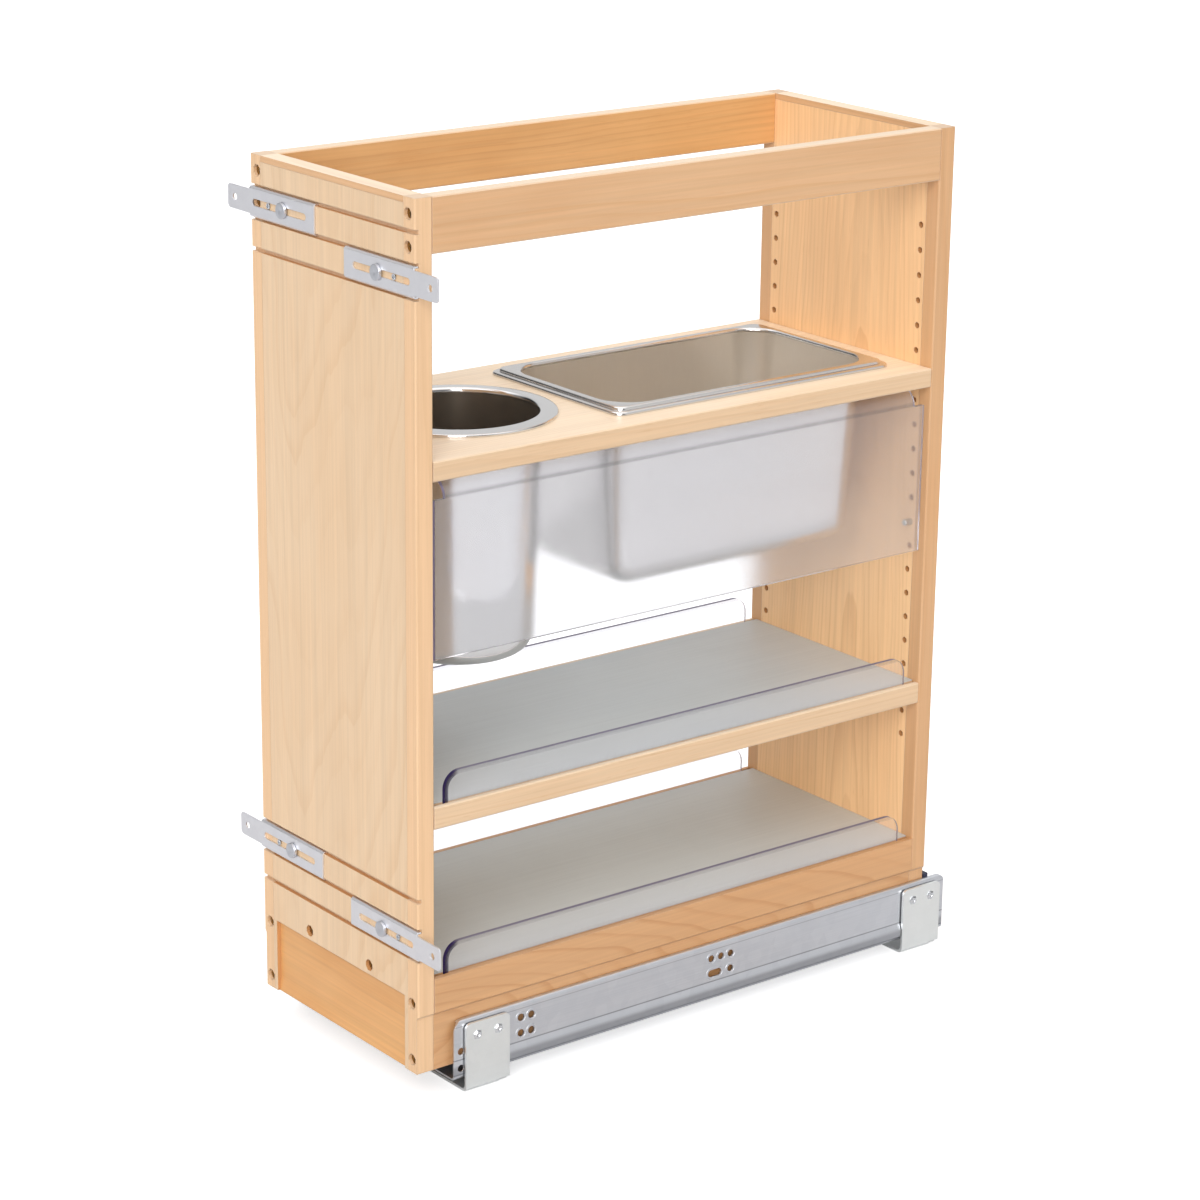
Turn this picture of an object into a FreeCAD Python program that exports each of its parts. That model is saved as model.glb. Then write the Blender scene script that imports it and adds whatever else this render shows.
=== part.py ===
import FreeCAD, Part
import math
import os

# Pull-out grooming organizer on undermount slides. Millimetres, +Z up.
# X runs across the narrow carcase, -Y is the door side, Z is 0 on the cabinet floor.

# Carcase
PANEL_WIDTH = 197.2
PANEL_HEIGHT = 619.0
PANEL_THICK = 14.0
CARCASE_DEPTH = 476.2
FLOOR_TO_WOOD = 21.0
STILE_WIDTH = 12.7
CAP_HEIGHT = 4.5
EASED_EDGE = 0.8
SIDE_STEP_DEPTH = 2.2
SIDE_STEP_HEIGHT = 44.0
CUTOUT_SIDE = 16.6
BASE_HEIGHT = 69.5
TOP_RAIL_HEIGHT = 38.1
TOP_RAIL_THICK = 12.7

# Grooves for the door brackets
KERF_WIDTH = 3.2
KERF_DEPTH = 3.2
KERF_PITCH = 22.0
UPPER_KERF_DROP = 44.3
LOWER_KERF_HEIGHT = 108.2

# Base
BASE_FRONT_SETBACK = 3.0
BASE_BEVEL_HEIGHT = 11.5
BASE_BEVEL_DEPTH = 1.4
DECK_THICK = 9.0

# Shelves, liners and pins
MID_SHELF_THICK = 16.0
MID_SHELF_PIN_SEAT = 8.0
CONTAINER_SHELF_THICK = 14.0
CONTAINER_SHELF_PIN_SEAT = 5.7
SHELF_END_GAP = 0.3
LINER_THICK = 0.8
PIN_DIAMETER = 4.8
PIN_LENGTH = 15.0
PIN_HOLE_PLAY = 0.1
PIN_HOLE_DEPTH = 8.5
PIN_HOLE_PITCH = 18.8
PIN_HOLE_INSET = 17.8
LOWEST_PIN_HOLE = 150.7
PIN_HOLE_COUNT = 22
MID_SHELF_HOLE = 2
GUARD_PIN_HOLE = 9
CONTAINER_SHELF_HOLE = 15
PIN_SLOT_PLAY = 0.2
PIN_SLOT_SPARE = 1.0

# Acrylic rails and guards
ACRYLIC_THICK = 3.0
ACRYLIC_INSET = 4.1
GROOVE_DEPTH = 6.0
GROOVE_PLAY = 0.1
RAIL_RISE = 22.0
RAIL_END_GAP = 11.7
RAIL_CORNER_RADIUS = 13.0
GUARD_DROP = 126.0
GUARD_END_GAP = 2.8
GUARD_NOTCH = 9.5
GUARD_BEND_RADIUS = 11.0
GUARD_FLANGE = 21.0
GUARD_INSET = 3.6
GUARD_SCREW_INSET = 21.0
GUARD_SCREW_END = 44.0

# Round container
CAN_FRONT_GAP = 19.5
CAN_RIM_RADIUS = 70.5
CAN_TOP_RADIUS = 58.0
CAN_BOTTOM_RADIUS = 53.5
CAN_DEPTH = 172.0
CAN_CORNER_RADIUS = 14.0
CAN_WALL = 0.9
CAN_RIM_RISE = 3.0
CAN_HOLE_PLAY = 1.5

# Rectangular pan
PAN_REAR_GAP = 20.2
PAN_FRONT_GAP = 11.5
PAN_RIM_WIDTH = 154.0
PAN_RIM_CORNER = 8.0
PAN_STEP = 4.0
PAN_RIM_BORDER = 9.1
PAN_TAPER = 9.0
PAN_DEPTH = 133.0
PAN_CORNER_RADIUS = 26.0
PAN_FLOOR_RADIUS = 15.0
PAN_WALL = 0.9
PAN_RIM_RISE = 5.2
PAN_LEDGE_RISE = 2.8
PAN_HOLE_PLAY = 2.0
RIM_SEAT_GAP = 0.1

# Fixed member of each slide
SLIDE_SIDE_GAP = 3.0
SLIDE_SHEET = 1.2
SLIDE_FRONT = 28.0
SLIDE_REAR_OVERHANG = 17.8
SLIDE_BOTTOM = 10.0
SLIDE_HEIGHT = 44.6
SLIDE_WIDTH = 46.8
TOP_LIP = 4.4
INNER_WALL_HEIGHT = 20.0
INNER_LIP = 6.7
BULGE = 1.8
BULGE_CREASE = 14.5
BULGE_HIGH = 9.5
BULGE_LOW = 4.5
BULGE_END_GAP = 0.6
WEB_FOLD = 1.6
BULGE_FOLD = 3.0
BULGE_TURN_FOLD = 2.0
SMALL_FOLD = 0.8
WEB_FRONT_CORNER = 8.0
WEB_REAR_CORNER = 4.0
WEB_HOLE_DIAMETER = 5.6
WEB_HOLE_LOW = 21.5
WEB_HOLE_RISE = 12.0
WEB_HOLE_PITCH = 9.2
WEB_GROUP_FRONT = 58.3
WEB_NOSE_HOLE = 6.0
WEB_NOSE_DROP = 13.0
WEB_SLOT_LENGTH = 12.6

# Moving members, rollers and carriages
LOWER_ROLLER_DIAMETER = 5.6
UPPER_ROLLER_DIAMETER = 5.0
ROLLER_PLAY = 0.05
ROLLER_LENGTH = 12.0
ROLLERS_PER_CARRIAGE = 3
MIDDLE_WEB_GAP = 20.2
MIDDLE_WIDTH = 21.4
MIDDLE_HEIGHT = 10.4
MIDDLE_LIP = 3.4
MIDDLE_FRONT_GAP = 2.0
MIDDLE_REAR_GAP = 54.0
RUNNER_HEIGHT = 10.8
RUNNER_TOP_HALF = 14.1
RUNNER_FOOT_HALF = 8.9
RUNNER_OVERHANG = 8.0
RUNNER_REAR_GAP = 38.0
RUNNER_SCREW_OFFSET = 8.0
RUNNER_SCREW_END = 40.0
CARRIAGE_LENGTH = 150.0
CARRIAGE_BACK = 117.0
CARRIAGE_SIDE_PLAY = 0.8
CARRIAGE_EDGE = 1.0
POCKET_PLAY = 0.4

# Floor brackets
BRACKET_SHEET = 2.0
BRACKET_WEB_GAP = 1.0
BRACKET_HEIGHT = 52.0
BRACKET_LENGTH = 38.0
BRACKET_REACH = 66.0
BRACKET_CORNER = 4.0
BRACKET_FOLD = 2.0
BRACKET_STEP_LENGTH = 9.0
BRACKET_STEP_HEIGHT = 3.0
FRONT_BRACKET_GAP = 8.5
REAR_BRACKET_GAP = 6.0
FLOOR_HOLE_DIAMETER = 5.0
FLOOR_HOLE_SPACING = 22.0
FLOOR_HOLE_INSET = 7.0
RIVET_DROP = 9.7
RIVET_INSET = 10.0
RIVET_DIAMETER = 4.0
RIVET_HEAD_DIAMETER = 7.4
RIVET_HEAD_HEIGHT = 1.3
RIVET_TAIL_DIAMETER = 5.6
RIVET_TAIL_HEIGHT = 1.0

# Rear bumpers
BUMPER_FRONT_GAP = 0.8
BUMPER_LENGTH = 4.5
BUMPER_WIDTH = 12.0
BUMPER_HEIGHT = 12.0
BUMPER_RISE = 2.8
BUMPER_CHAMFER = 2.0
BUMPER_FIT = 0.3

# Door brackets
PLATE_THICK = 1.2
PLATE_STANDOFF = 0.1
LIP_CLEARANCE = 0.15
LIP_DEPTH = 2.6
PLATE_FOLD = 0.2
PLATE_WIDE_LENGTH = 80.8
TAB_LENGTH = 27.7
TAB_HEIGHT = 17.0
TAB_CORNER = 3.0
TAB_HOLE_DIAMETER = 5.2
TAB_HOLE_INSET = 9.0
SLOT_WIDTH = 5.0
SLOT_LENGTH = 66.5
SLOT_INNER_MARGIN = 10.2
CLAMP_SCREW_INSET = 41.8
GUIDE_SCREW_INSET = 23.1
CLAMP_HEAD_DIAMETER = 11.4
CLAMP_HEAD_HEIGHT = 2.2
CLAMP_SHANK_DIAMETER = 4.0
GUIDE_HEAD_DIAMETER = 4.6
GUIDE_HEAD_HEIGHT = 1.1
GUIDE_SHANK_DIAMETER = 3.2
FRONT_SCREW_LENGTH = 9.0

# Carcase screws
SCREW_INSET = 8.0
COUNTERBORE_DIAMETER = 8.8
COUNTERBORE_DEPTH = 5.0
SCREW_HEAD_DIAMETER = 8.0
SCREW_HEAD_HEIGHT = 2.6
SCREW_DIAMETER = 4.0
SCREW_LENGTH = 32.0
SCREW_PLAY = 0.05
SCREW_TIP_SPARE = 1.0
RAIL_SCREW_DROPS = (11.0, 33.0)
BASE_SCREW_HEIGHTS = (9.5, 52.0)
SHELF_SCREW_X = 38.0
SMALL_SCREW_DIAMETER = 3.2
SMALL_SCREW_HEAD = 6.0
SMALL_SCREW_HEAD_HEIGHT = 1.8
SMALL_SCREW_LENGTH = 7.0

# How small repeated rounds are faceted, and the smallest radius that is drawn as an arc
HOLE_SIDES = 6
COUNTERBORE_SIDES = 8
HEAD_SIDES = 6
SHANK_SIDES = 6
ROLLER_SIDES = 12
CLAMP_HEAD_SIDES = 16
CORNER_BANDS = 2
SMALLEST_ARC = 2.2

# How far a cutter runs past a face, and how near two places or directions count as the same
PAST = 1.0
NEAR = 0.01

# Places that follow from the sizes
HALF_WIDTH = PANEL_WIDTH / 2
CORE_HALF = HALF_WIDTH - STILE_WIDTH
CUTOUT_HALF = HALF_WIDTH - CUTOUT_SIDE
WOOD_TOP = FLOOR_TO_WOOD + PANEL_HEIGHT
BASE_TOP = FLOOR_TO_WOOD + BASE_HEIGHT
BASE_SHELF_UNDER = BASE_TOP - PANEL_THICK
STEP_TOP = FLOOR_TO_WOOD + SIDE_STEP_HEIGHT
INNER_FRONT = PANEL_THICK
INNER_REAR = CARCASE_DEPTH - PANEL_THICK
SIDE_BOARD_INNER = HALF_WIDTH - PANEL_THICK
SCREW_X = HALF_WIDTH - SCREW_INSET
PIN_X = HALF_WIDTH - PIN_HOLE_INSET
PIN_HOLE_DIAMETER = PIN_DIAMETER + 2 * PIN_HOLE_PLAY
FIRST_HOLE = FLOOR_TO_WOOD + LOWEST_PIN_HOLE
MID_PIN_Z = FIRST_HOLE + MID_SHELF_HOLE * PIN_HOLE_PITCH
CONTAINER_PIN_Z = FIRST_HOLE + CONTAINER_SHELF_HOLE * PIN_HOLE_PITCH
GUARD_PIN_Z = FIRST_HOLE + GUARD_PIN_HOLE * PIN_HOLE_PITCH
MID_UNDER = MID_PIN_Z - MID_SHELF_PIN_SEAT
MID_TOP = MID_UNDER + MID_SHELF_THICK
CONTAINER_UNDER = CONTAINER_PIN_Z - CONTAINER_SHELF_PIN_SEAT
CONTAINER_TOP = CONTAINER_UNDER + CONTAINER_SHELF_THICK
ACRYLIC_OUTER = HALF_WIDTH - ACRYLIC_INSET
ACRYLIC_INNER = ACRYLIC_OUTER - ACRYLIC_THICK
GUARD_X = HALF_WIDTH - GUARD_INSET
CAN_Y = INNER_FRONT + CAN_FRONT_GAP + CAN_RIM_RADIUS
PAN_RIM_FRONT = CAN_Y + CAN_RIM_RADIUS + PAN_FRONT_GAP
PAN_RIM_REAR = INNER_REAR - PAN_REAR_GAP
PAN_RIM_LENGTH = PAN_RIM_REAR - PAN_RIM_FRONT
PAN_Y = (PAN_RIM_FRONT + PAN_RIM_REAR) / 2
WEB_X = HALF_WIDTH + SLIDE_SIDE_GAP
SLIDE_REAR = CARCASE_DEPTH + SLIDE_REAR_OVERHANG
SLIDE_TOP = SLIDE_BOTTOM + SLIDE_HEIGHT
SLIDE_FLOOR = SLIDE_BOTTOM + SLIDE_SHEET
MIDDLE_X = WEB_X - SLIDE_SHEET - MIDDLE_WEB_GAP - MIDDLE_WIDTH / 2
MIDDLE_UNDER = SLIDE_FLOOR + LOWER_ROLLER_DIAMETER + 2 * ROLLER_PLAY
MIDDLE_FLOOR = MIDDLE_UNDER + SLIDE_SHEET
RUNNER_UNDER = MIDDLE_FLOOR + UPPER_ROLLER_DIAMETER + 2 * ROLLER_PLAY
RUNNER_FRONT = SLIDE_FRONT - RUNNER_OVERHANG
RUNNER_REAR = SLIDE_REAR - RUNNER_REAR_GAP
DECK_UNDER = RUNNER_UNDER + RUNNER_HEIGHT
FRONT_BRACKET_Y = SLIDE_FRONT + FRONT_BRACKET_GAP
REAR_BRACKET_Y = SLIDE_REAR - REAR_BRACKET_GAP - BRACKET_LENGTH
BRACKET_X = WEB_X + BRACKET_WEB_GAP + BRACKET_SHEET
FLOOR_HOLE_X = BRACKET_X - BRACKET_REACH + FLOOR_HOLE_INSET
RIVET_Z = BRACKET_HEIGHT - RIVET_DROP
RIVET_HOLE_DIAMETER = RIVET_DIAMETER + 2 * SCREW_PLAY
SMALL_HOLE_DIAMETER = SMALL_SCREW_DIAMETER + 2 * SCREW_PLAY
SCREW_HOLE_DIAMETER = SCREW_DIAMETER + 2 * SCREW_PLAY
PLATE_INNER_END = HALF_WIDTH - PLATE_WIDE_LENGTH
CLAMP_SCREW_X = HALF_WIDTH - CLAMP_SCREW_INSET
GUIDE_SCREW_X = HALF_WIDTH - GUIDE_SCREW_INSET
PLATE_FRONT = -(PLATE_STANDOFF + PLATE_THICK)
FRONT_REACH = PLATE_FRONT - PLATE_STANDOFF - CLAMP_HEAD_HEIGHT
ORIGIN_Y = (FRONT_REACH + SLIDE_REAR) / 2

Vec = FreeCAD.Vector
X_AXIS = Vec(1, 0, 0)
Y_AXIS = Vec(0, 1, 0)
Z_AXIS = Vec(0, 0, 1)
SIDES = (-1, 1)


# Shape helpers
def block(low, high):
    """A box between two corners given as (x, y, z)."""
    width, length, height = [b - a for a, b in zip(low, high)]
    return Part.makeBox(width, length, height, Vec(*low))


def rod(start, axis, length, diameter):
    """A round bar from start along axis."""
    return Part.makeCylinder(diameter / 2, length, Vec(*start), axis)


def prism(points, direction):
    """A straight prism on a closed outline."""
    return Part.Face(Part.makePolygon(points + points[:1])).extrude(direction)


def faceted_rod(start, axis, length, diameter, sides):
    """A many-sided bar for small rounds that repeat, its corners on the circle."""
    first = X_AXIS if abs(axis.x) < 0.5 else Y_AXIS
    second = axis.cross(first)
    corners = []
    for i in range(sides):
        angle = 2 * math.pi * (i + 0.5) / sides
        spoke = first * math.cos(angle) + second * math.sin(angle)
        corners.append(Vec(*start) + spoke * (diameter / 2))
    return prism(corners, axis * length)


def fused(shapes):
    """One solid from several that touch or overlap."""
    return shapes[0].fuse(shapes[1:]).removeSplitter()


def mirrored_x(shape):
    """The same piece on the other side of the carcase."""
    return shape.mirror(Vec(), X_AXIS)


def mirrored_y(shape):
    """The same piece at the other end of the carcase."""
    return shape.mirror(Vec(0, CARCASE_DEPTH / 2, 0), Y_AXIS)


def with_mirrored_y(shapes):
    """The pieces of the front end with those of the rear end."""
    return shapes + [mirrored_y(shape) for shape in shapes]


def with_mirrored_x(shapes):
    """The pieces of the right side with those of the left side."""
    return shapes + [mirrored_x(shape) for shape in shapes]


def pair(name, right):
    """A right piece and its mirror image as two nodes."""
    return {name + "_right": right, name + "_left": mirrored_x(right)}


def runs_along(edge, axis):
    """True for a straight edge along axis."""
    if not isinstance(edge.Curve, (Part.Line, Part.LineSegment)):
        return False
    return edge.tangentAt(edge.FirstParameter).cross(axis).Length < NEAR


def round_edges(shape, radius, chosen):
    """Rounds the edges for which chosen(edge) is true."""
    return shape.makeFillet(radius, [e for e in shape.Edges if chosen(e)])


def ease_edges(shape, chosen):
    """Takes the sharpness off the edges for which chosen(edge) is true."""
    return shape.makeChamfer(EASED_EDGE, [e for e in shape.Edges if chosen(e)])


def rounded_rectangle(width, length, radius, centre_y, z):
    """A flat rectangle with round corners, as a wire."""
    arcs = []
    for turn, across, along in ((0, 1, 1), (90, -1, 1), (180, -1, -1), (270, 1, -1)):
        centre = Vec(across * (width / 2 - radius), centre_y + along * (length / 2 - radius), z)
        angles = [math.radians(turn + step) for step in (0, 45, 90)]
        arcs.append([centre + Vec(math.cos(a), math.sin(a), 0) * radius for a in angles])
    edges = []
    for here, after in zip(arcs, arcs[1:] + arcs[:1]):
        edges.append(Part.Arc(*here).toShape())
        edges.append(Part.LineSegment(here[2], after[0]).toShape())
    return Part.Wire(edges)


def rounded_slab(width, length, radius, centre_y, low, high):
    """A flat plate with round corners."""
    face = Part.Face(rounded_rectangle(width, length, radius, centre_y, low))
    return face.extrude(Z_AXIS * (high - low))


def corner_bands(radius):
    """Inset and rise of the steps that stand for a round bottom corner, lowest first."""
    angles = [math.pi / 2 * i / CORNER_BANDS for i in range(CORNER_BANDS + 1)]
    return [(radius * (1 - math.sin(angle)), radius * (1 - math.cos(angle))) for angle in angles]


def obround(start, end, axis, length, width):
    """A straight slot's solid between the centres of its two round ends."""
    start = Vec(*start)
    end = Vec(*end)
    along = (end - start).normalize()
    side = along.cross(axis) * (width / 2)
    tip = along * (width / 2)
    edges = [Part.LineSegment(start + side, end + side).toShape(),
             Part.Arc(end + side, end + tip, end - side).toShape(),
             Part.LineSegment(end - side, start - side).toShape(),
             Part.Arc(start - side, start - tip, start + side).toShape()]
    return Part.Face(Part.Wire(edges)).extrude(axis * length)


# Folded sheet metal and plastic
def ways_at(path, i):
    """Unit directions into and out of point i of a path."""
    spots = path[max(i - 1, 0):i + 2]
    return [(after - here).normalize() for here, after in zip(spots, spots[1:])]


def offset_path(path, distance):
    """The path moved to its left by distance, its corners mitred."""
    moved = []
    for i, spot in enumerate(path):
        ways = ways_at(path, i)
        normal = Vec()
        for way in ways:
            normal += Vec(-way.y, way.x, 0)
        moved.append(spot + normal * (distance * len(ways) / normal.dot(normal)))
    return moved


def rounded_path(path, radii, place):
    """Edges along a path whose inner points are rounded, place giving their real position.

    A radius below the smallest arc is drawn as one flat band.
    """
    edges = []
    here = path[0]
    for i, radius in enumerate(radii, start=1):
        way_in, way_out = ways_at(path, i)
        half_turn = way_in.getAngle(way_out) / 2
        reach = radius * math.tan(half_turn)
        inward = (way_out - way_in).normalize()
        start = path[i] - way_in * reach
        middle = path[i] + inward * (radius / math.cos(half_turn) - radius)
        end = path[i] + way_out * reach
        edges.append(Part.LineSegment(place(here), place(start)).toShape())
        if radius < SMALLEST_ARC:
            turn = Part.LineSegment(place(start), place(end))
        else:
            turn = Part.Arc(place(start), place(middle), place(end))
        edges.append(turn.toShape())
        here = end
    edges.append(Part.LineSegment(place(here), place(path[-1])).toShape())
    return edges


def folded_section(spots, folds, thick, place):
    """The section of a folded sheet.

    spots run along one face of the sheet, folds holds the inside radius of each fold, thick is
    positive where the sheet lies left of the run, and place turns a flat point into a real one.
    """
    path = [Vec(u, v, 0) for u, v in spots]
    other = offset_path(path, thick)
    face_radii = []
    other_radii = []
    for i, fold in enumerate(folds, start=1):
        way_in, way_out = ways_at(path, i)
        sheet_inside_turn = way_in.cross(way_out).z * thick > 0
        face_radii.append(fold + abs(thick) if sheet_inside_turn else fold)
        other_radii.append(fold if sheet_inside_turn else fold + abs(thick))
    edges = rounded_path(path, face_radii, place) + rounded_path(other, other_radii, place)
    for here, there in ((path[0], other[0]), (path[-1], other[-1])):
        edges.append(Part.LineSegment(place(here), place(there)).toShape())
    return Part.Face(Part.Wire(Part.__sortEdges__(edges)))


def folded_along_y(spots, folds, thick, start, end):
    """A folded sheet from start to end, its section standing in X and Z."""
    section = folded_section(spots, folds, thick, lambda p: Vec(p.x, start, p.y))
    return section.extrude(Y_AXIS * (end - start))


# Screws
def screw(start, axis, head_diameter, head_height, diameter, length):
    """A screw from the outer face of its head, as one solid."""
    head = faceted_rod(start, axis, head_height, head_diameter, HEAD_SIDES)
    neck = Vec(*start) + axis * head_height
    return fused([head, faceted_rod(neck, axis, length, diameter, SHANK_SIDES)])


def small_screw(x, y, sheet_under, sheet_thick):
    """A short screw up through a sheet into the wood above it."""
    start = (x, y, sheet_under - SMALL_SCREW_HEAD_HEIGHT)
    return screw(start, Z_AXIS, SMALL_SCREW_HEAD, SMALL_SCREW_HEAD_HEIGHT, SMALL_SCREW_DIAMETER,
                 sheet_thick + SMALL_SCREW_LENGTH)


def small_screw_hole(x, y, low, high):
    """The hole that a small screw passes."""
    return faceted_rod((x, y, low), Z_AXIS, high - low, SMALL_HOLE_DIAMETER, SHANK_SIDES)


def holes_along_y(spots, start, end, diameter, sides):
    """Holes along Y at each (x, z)."""
    return [faceted_rod((x, start, z), Y_AXIS, end - start, diameter, sides) for x, z in spots]


def rail_screw_spots():
    """Two screws into the end of each top rail, as (x, z)."""
    return [(side * SCREW_X, WOOD_TOP - drop) for side in SIDES for drop in RAIL_SCREW_DROPS]


def base_screw_spots():
    """Two screws into the end of each base side board, as (x, z)."""
    return [(side * SCREW_X, FLOOR_TO_WOOD + height)
            for side in SIDES for height in BASE_SCREW_HEIGHTS]


def shelf_screw_spots():
    """Two screws into the end of the bottom shelf, as (x, z)."""
    return [(side * SHELF_SCREW_X, BASE_TOP - PANEL_THICK / 2) for side in SIDES]


def panel_screw_spots():
    """Every screw through one panel."""
    return rail_screw_spots() + base_screw_spots() + shelf_screw_spots()


def pilot_holes(spots):
    """Holes for the panel screws in both ends of a board that lies between the panels."""
    depth = COUNTERBORE_DEPTH + SCREW_LENGTH + SCREW_TIP_SPARE
    return with_mirrored_y(holes_along_y(spots, 0, depth, SCREW_HOLE_DIAMETER, SHANK_SIDES))


def panel_screws():
    """The screws through the front panel, sunk in their counterbores."""
    start = COUNTERBORE_DEPTH - SCREW_HEAD_HEIGHT
    return [screw((x, start, z), Y_AXIS, SCREW_HEAD_DIAMETER, SCREW_HEAD_HEIGHT, SCREW_DIAMETER,
                  SCREW_LENGTH) for x, z in panel_screw_spots()]


def screws():
    """The screws of both end panels."""
    front = panel_screws()
    return {
        "front_panel_screws": Part.makeCompound(front),
        "back_panel_screws": Part.makeCompound([mirrored_y(each) for each in front]),
    }


# End panels
def pin_hole_spots():
    """The shelf pin holes of one panel, as (x, z)."""
    heights = [FIRST_HOLE + i * PIN_HOLE_PITCH for i in range(PIN_HOLE_COUNT)]
    return [(side * PIN_X, z) for side in SIDES for z in heights]


def kerf_middles():
    """The heights of the middle grooves, one of each pair of door brackets."""
    return {"upper": WOOD_TOP - UPPER_KERF_DROP, "lower": FLOOR_TO_WOOD + LOWER_KERF_HEIGHT}


def kerfs():
    """Grooves across the door side of the front panel."""
    reach = HALF_WIDTH + PAST
    heights = [middle + step * KERF_PITCH for middle in kerf_middles().values()
               for step in (-1, 0, 1)]
    return [block((-reach, -PAST, z - KERF_WIDTH / 2), (reach, KERF_DEPTH, z + KERF_WIDTH / 2))
            for z in heights]


def side_step(start, end):
    """What is taken off the right side below the step, with its sloping shoulder."""
    inner = HALF_WIDTH - SIDE_STEP_DEPTH
    outer = HALF_WIDTH + PAST
    outline = [(inner, FLOOR_TO_WOOD - PAST), (outer, FLOOR_TO_WOOD - PAST),
               (outer, STEP_TOP + PAST), (HALF_WIDTH, STEP_TOP), (inner, STEP_TOP - SIDE_STEP_DEPTH)]
    return prism([Vec(x, start, z) for x, z in outline], Y_AXIS * (end - start))


def panel_screw_cuts():
    """Counterbores and screw holes of the front panel."""
    spots = panel_screw_spots()
    wide = holes_along_y(spots, -PAST, COUNTERBORE_DEPTH, COUNTERBORE_DIAMETER, COUNTERBORE_SIDES)
    return wide + holes_along_y(spots, 0, PANEL_THICK + PAST, SCREW_HOLE_DIAMETER, SHANK_SIDES)


def panel_core(door_side_cuts):
    """The plywood middle of an end panel, built in the front panel's place."""
    core = block((-CORE_HALF, 0, FLOOR_TO_WOOD), (CORE_HALF, PANEL_THICK, WOOD_TOP - CAP_HEIGHT))
    cutout = block((-CUTOUT_HALF, -PAST, FLOOR_TO_WOOD - PAST),
                   (CUTOUT_HALF, PANEL_THICK + PAST, BASE_SHELF_UNDER))
    pin_holes = holes_along_y(pin_hole_spots(), PANEL_THICK - PIN_HOLE_DEPTH, PANEL_THICK + PAST,
                              PIN_HOLE_DIAMETER, HOLE_SIDES)
    return core.cut([cutout] + pin_holes + panel_screw_cuts() + door_side_cuts)


def panel_stile(door_side_cuts):
    """The solid strip on the right edge of an end panel."""
    stile = block((CORE_HALF, 0, FLOOR_TO_WOOD), (HALF_WIDTH, PANEL_THICK, WOOD_TOP))
    stile = ease_edges(stile, lambda e: runs_along(e, Z_AXIS)
                       and e.BoundBox.XMin > HALF_WIDTH - NEAR)
    step = side_step(-PAST, PANEL_THICK + PAST)
    return stile.cut([step] + panel_screw_cuts() + door_side_cuts)


def panels():
    """Both end panels with their stiles and the strips along their tops."""
    cap = block((-CORE_HALF, 0, WOOD_TOP - CAP_HEIGHT), (CORE_HALF, PANEL_THICK, WOOD_TOP))
    nodes = {
        "front_panel": panel_core(kerfs() + bracket_screw_holes()),
        "back_panel": mirrored_y(panel_core([])),
        "panel_top_strips": Part.makeCompound([cap, mirrored_y(cap)]),
    }
    nodes.update(pair("front_stile", panel_stile(kerfs())))
    nodes.update(pair("back_stile", mirrored_y(panel_stile([]))))
    return nodes


# Boards between the panels
def top_rail():
    """The right rail along the top."""
    rail = block((HALF_WIDTH - TOP_RAIL_THICK, INNER_FRONT, WOOD_TOP - TOP_RAIL_HEIGHT),
                 (HALF_WIDTH, INNER_REAR, WOOD_TOP))
    rail = ease_edges(rail, lambda e: runs_along(e, Y_AXIS))
    return rail.cut(pilot_holes(rail_screw_spots()))


def acrylic_groove(top):
    """The groove that a right rail of acrylic stands in."""
    return block((ACRYLIC_INNER - GROOVE_PLAY, INNER_FRONT - PAST, top - GROOVE_DEPTH - GROOVE_PLAY),
                 (ACRYLIC_OUTER + GROOVE_PLAY, INNER_REAR + PAST, top + PAST))


def base_side_board():
    """The right side of the base, stepped in to clear the slide."""
    board = block((SIDE_BOARD_INNER, INNER_FRONT, FLOOR_TO_WOOD), (HALF_WIDTH, INNER_REAR, BASE_TOP))
    step = side_step(INNER_FRONT - PAST, INNER_REAR + PAST)
    return board.cut([step, acrylic_groove(BASE_TOP)] + pilot_holes(base_screw_spots()))


def base_front_board():
    """The cross board that shows in the front panel's cut-out, bevelled along its bottom."""
    face = BASE_FRONT_SETBACK
    back = face + PANEL_THICK
    outline = [(face - BASE_BEVEL_DEPTH, FLOOR_TO_WOOD), (face, FLOOR_TO_WOOD + BASE_BEVEL_HEIGHT),
               (face, BASE_SHELF_UNDER), (back, BASE_SHELF_UNDER), (back, FLOOR_TO_WOOD)]
    return prism([Vec(-CUTOUT_HALF, y, z) for y, z in outline], X_AXIS * (2 * CUTOUT_HALF))


def base_back_board():
    """The rear cross board, raised so that the slides pass under it."""
    rear = CARCASE_DEPTH - BASE_FRONT_SETBACK
    return block((-CUTOUT_HALF, rear - PANEL_THICK, DECK_UNDER),
                 (CUTOUT_HALF, rear, BASE_SHELF_UNDER))


def slide_deck():
    """The hidden board that rests on the slides."""
    front = BASE_FRONT_SETBACK + PANEL_THICK
    deck = block((-SIDE_BOARD_INNER, front, DECK_UNDER),
                 (SIDE_BOARD_INNER, CARCASE_DEPTH - front, DECK_UNDER + DECK_THICK))
    top_of_hole = DECK_UNDER + SMALL_SCREW_LENGTH + SCREW_TIP_SPARE
    return deck.cut([small_screw_hole(x, y, DECK_UNDER - PAST, top_of_hole)
                     for x, y in runner_screw_spots()])


def bottom_shelf():
    """The board inside the base that carries the lowest liner."""
    shelf = block((-SIDE_BOARD_INNER, INNER_FRONT, BASE_SHELF_UNDER),
                  (SIDE_BOARD_INNER, INNER_REAR, BASE_TOP))
    return shelf.cut(pilot_holes(shelf_screw_spots()))


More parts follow.
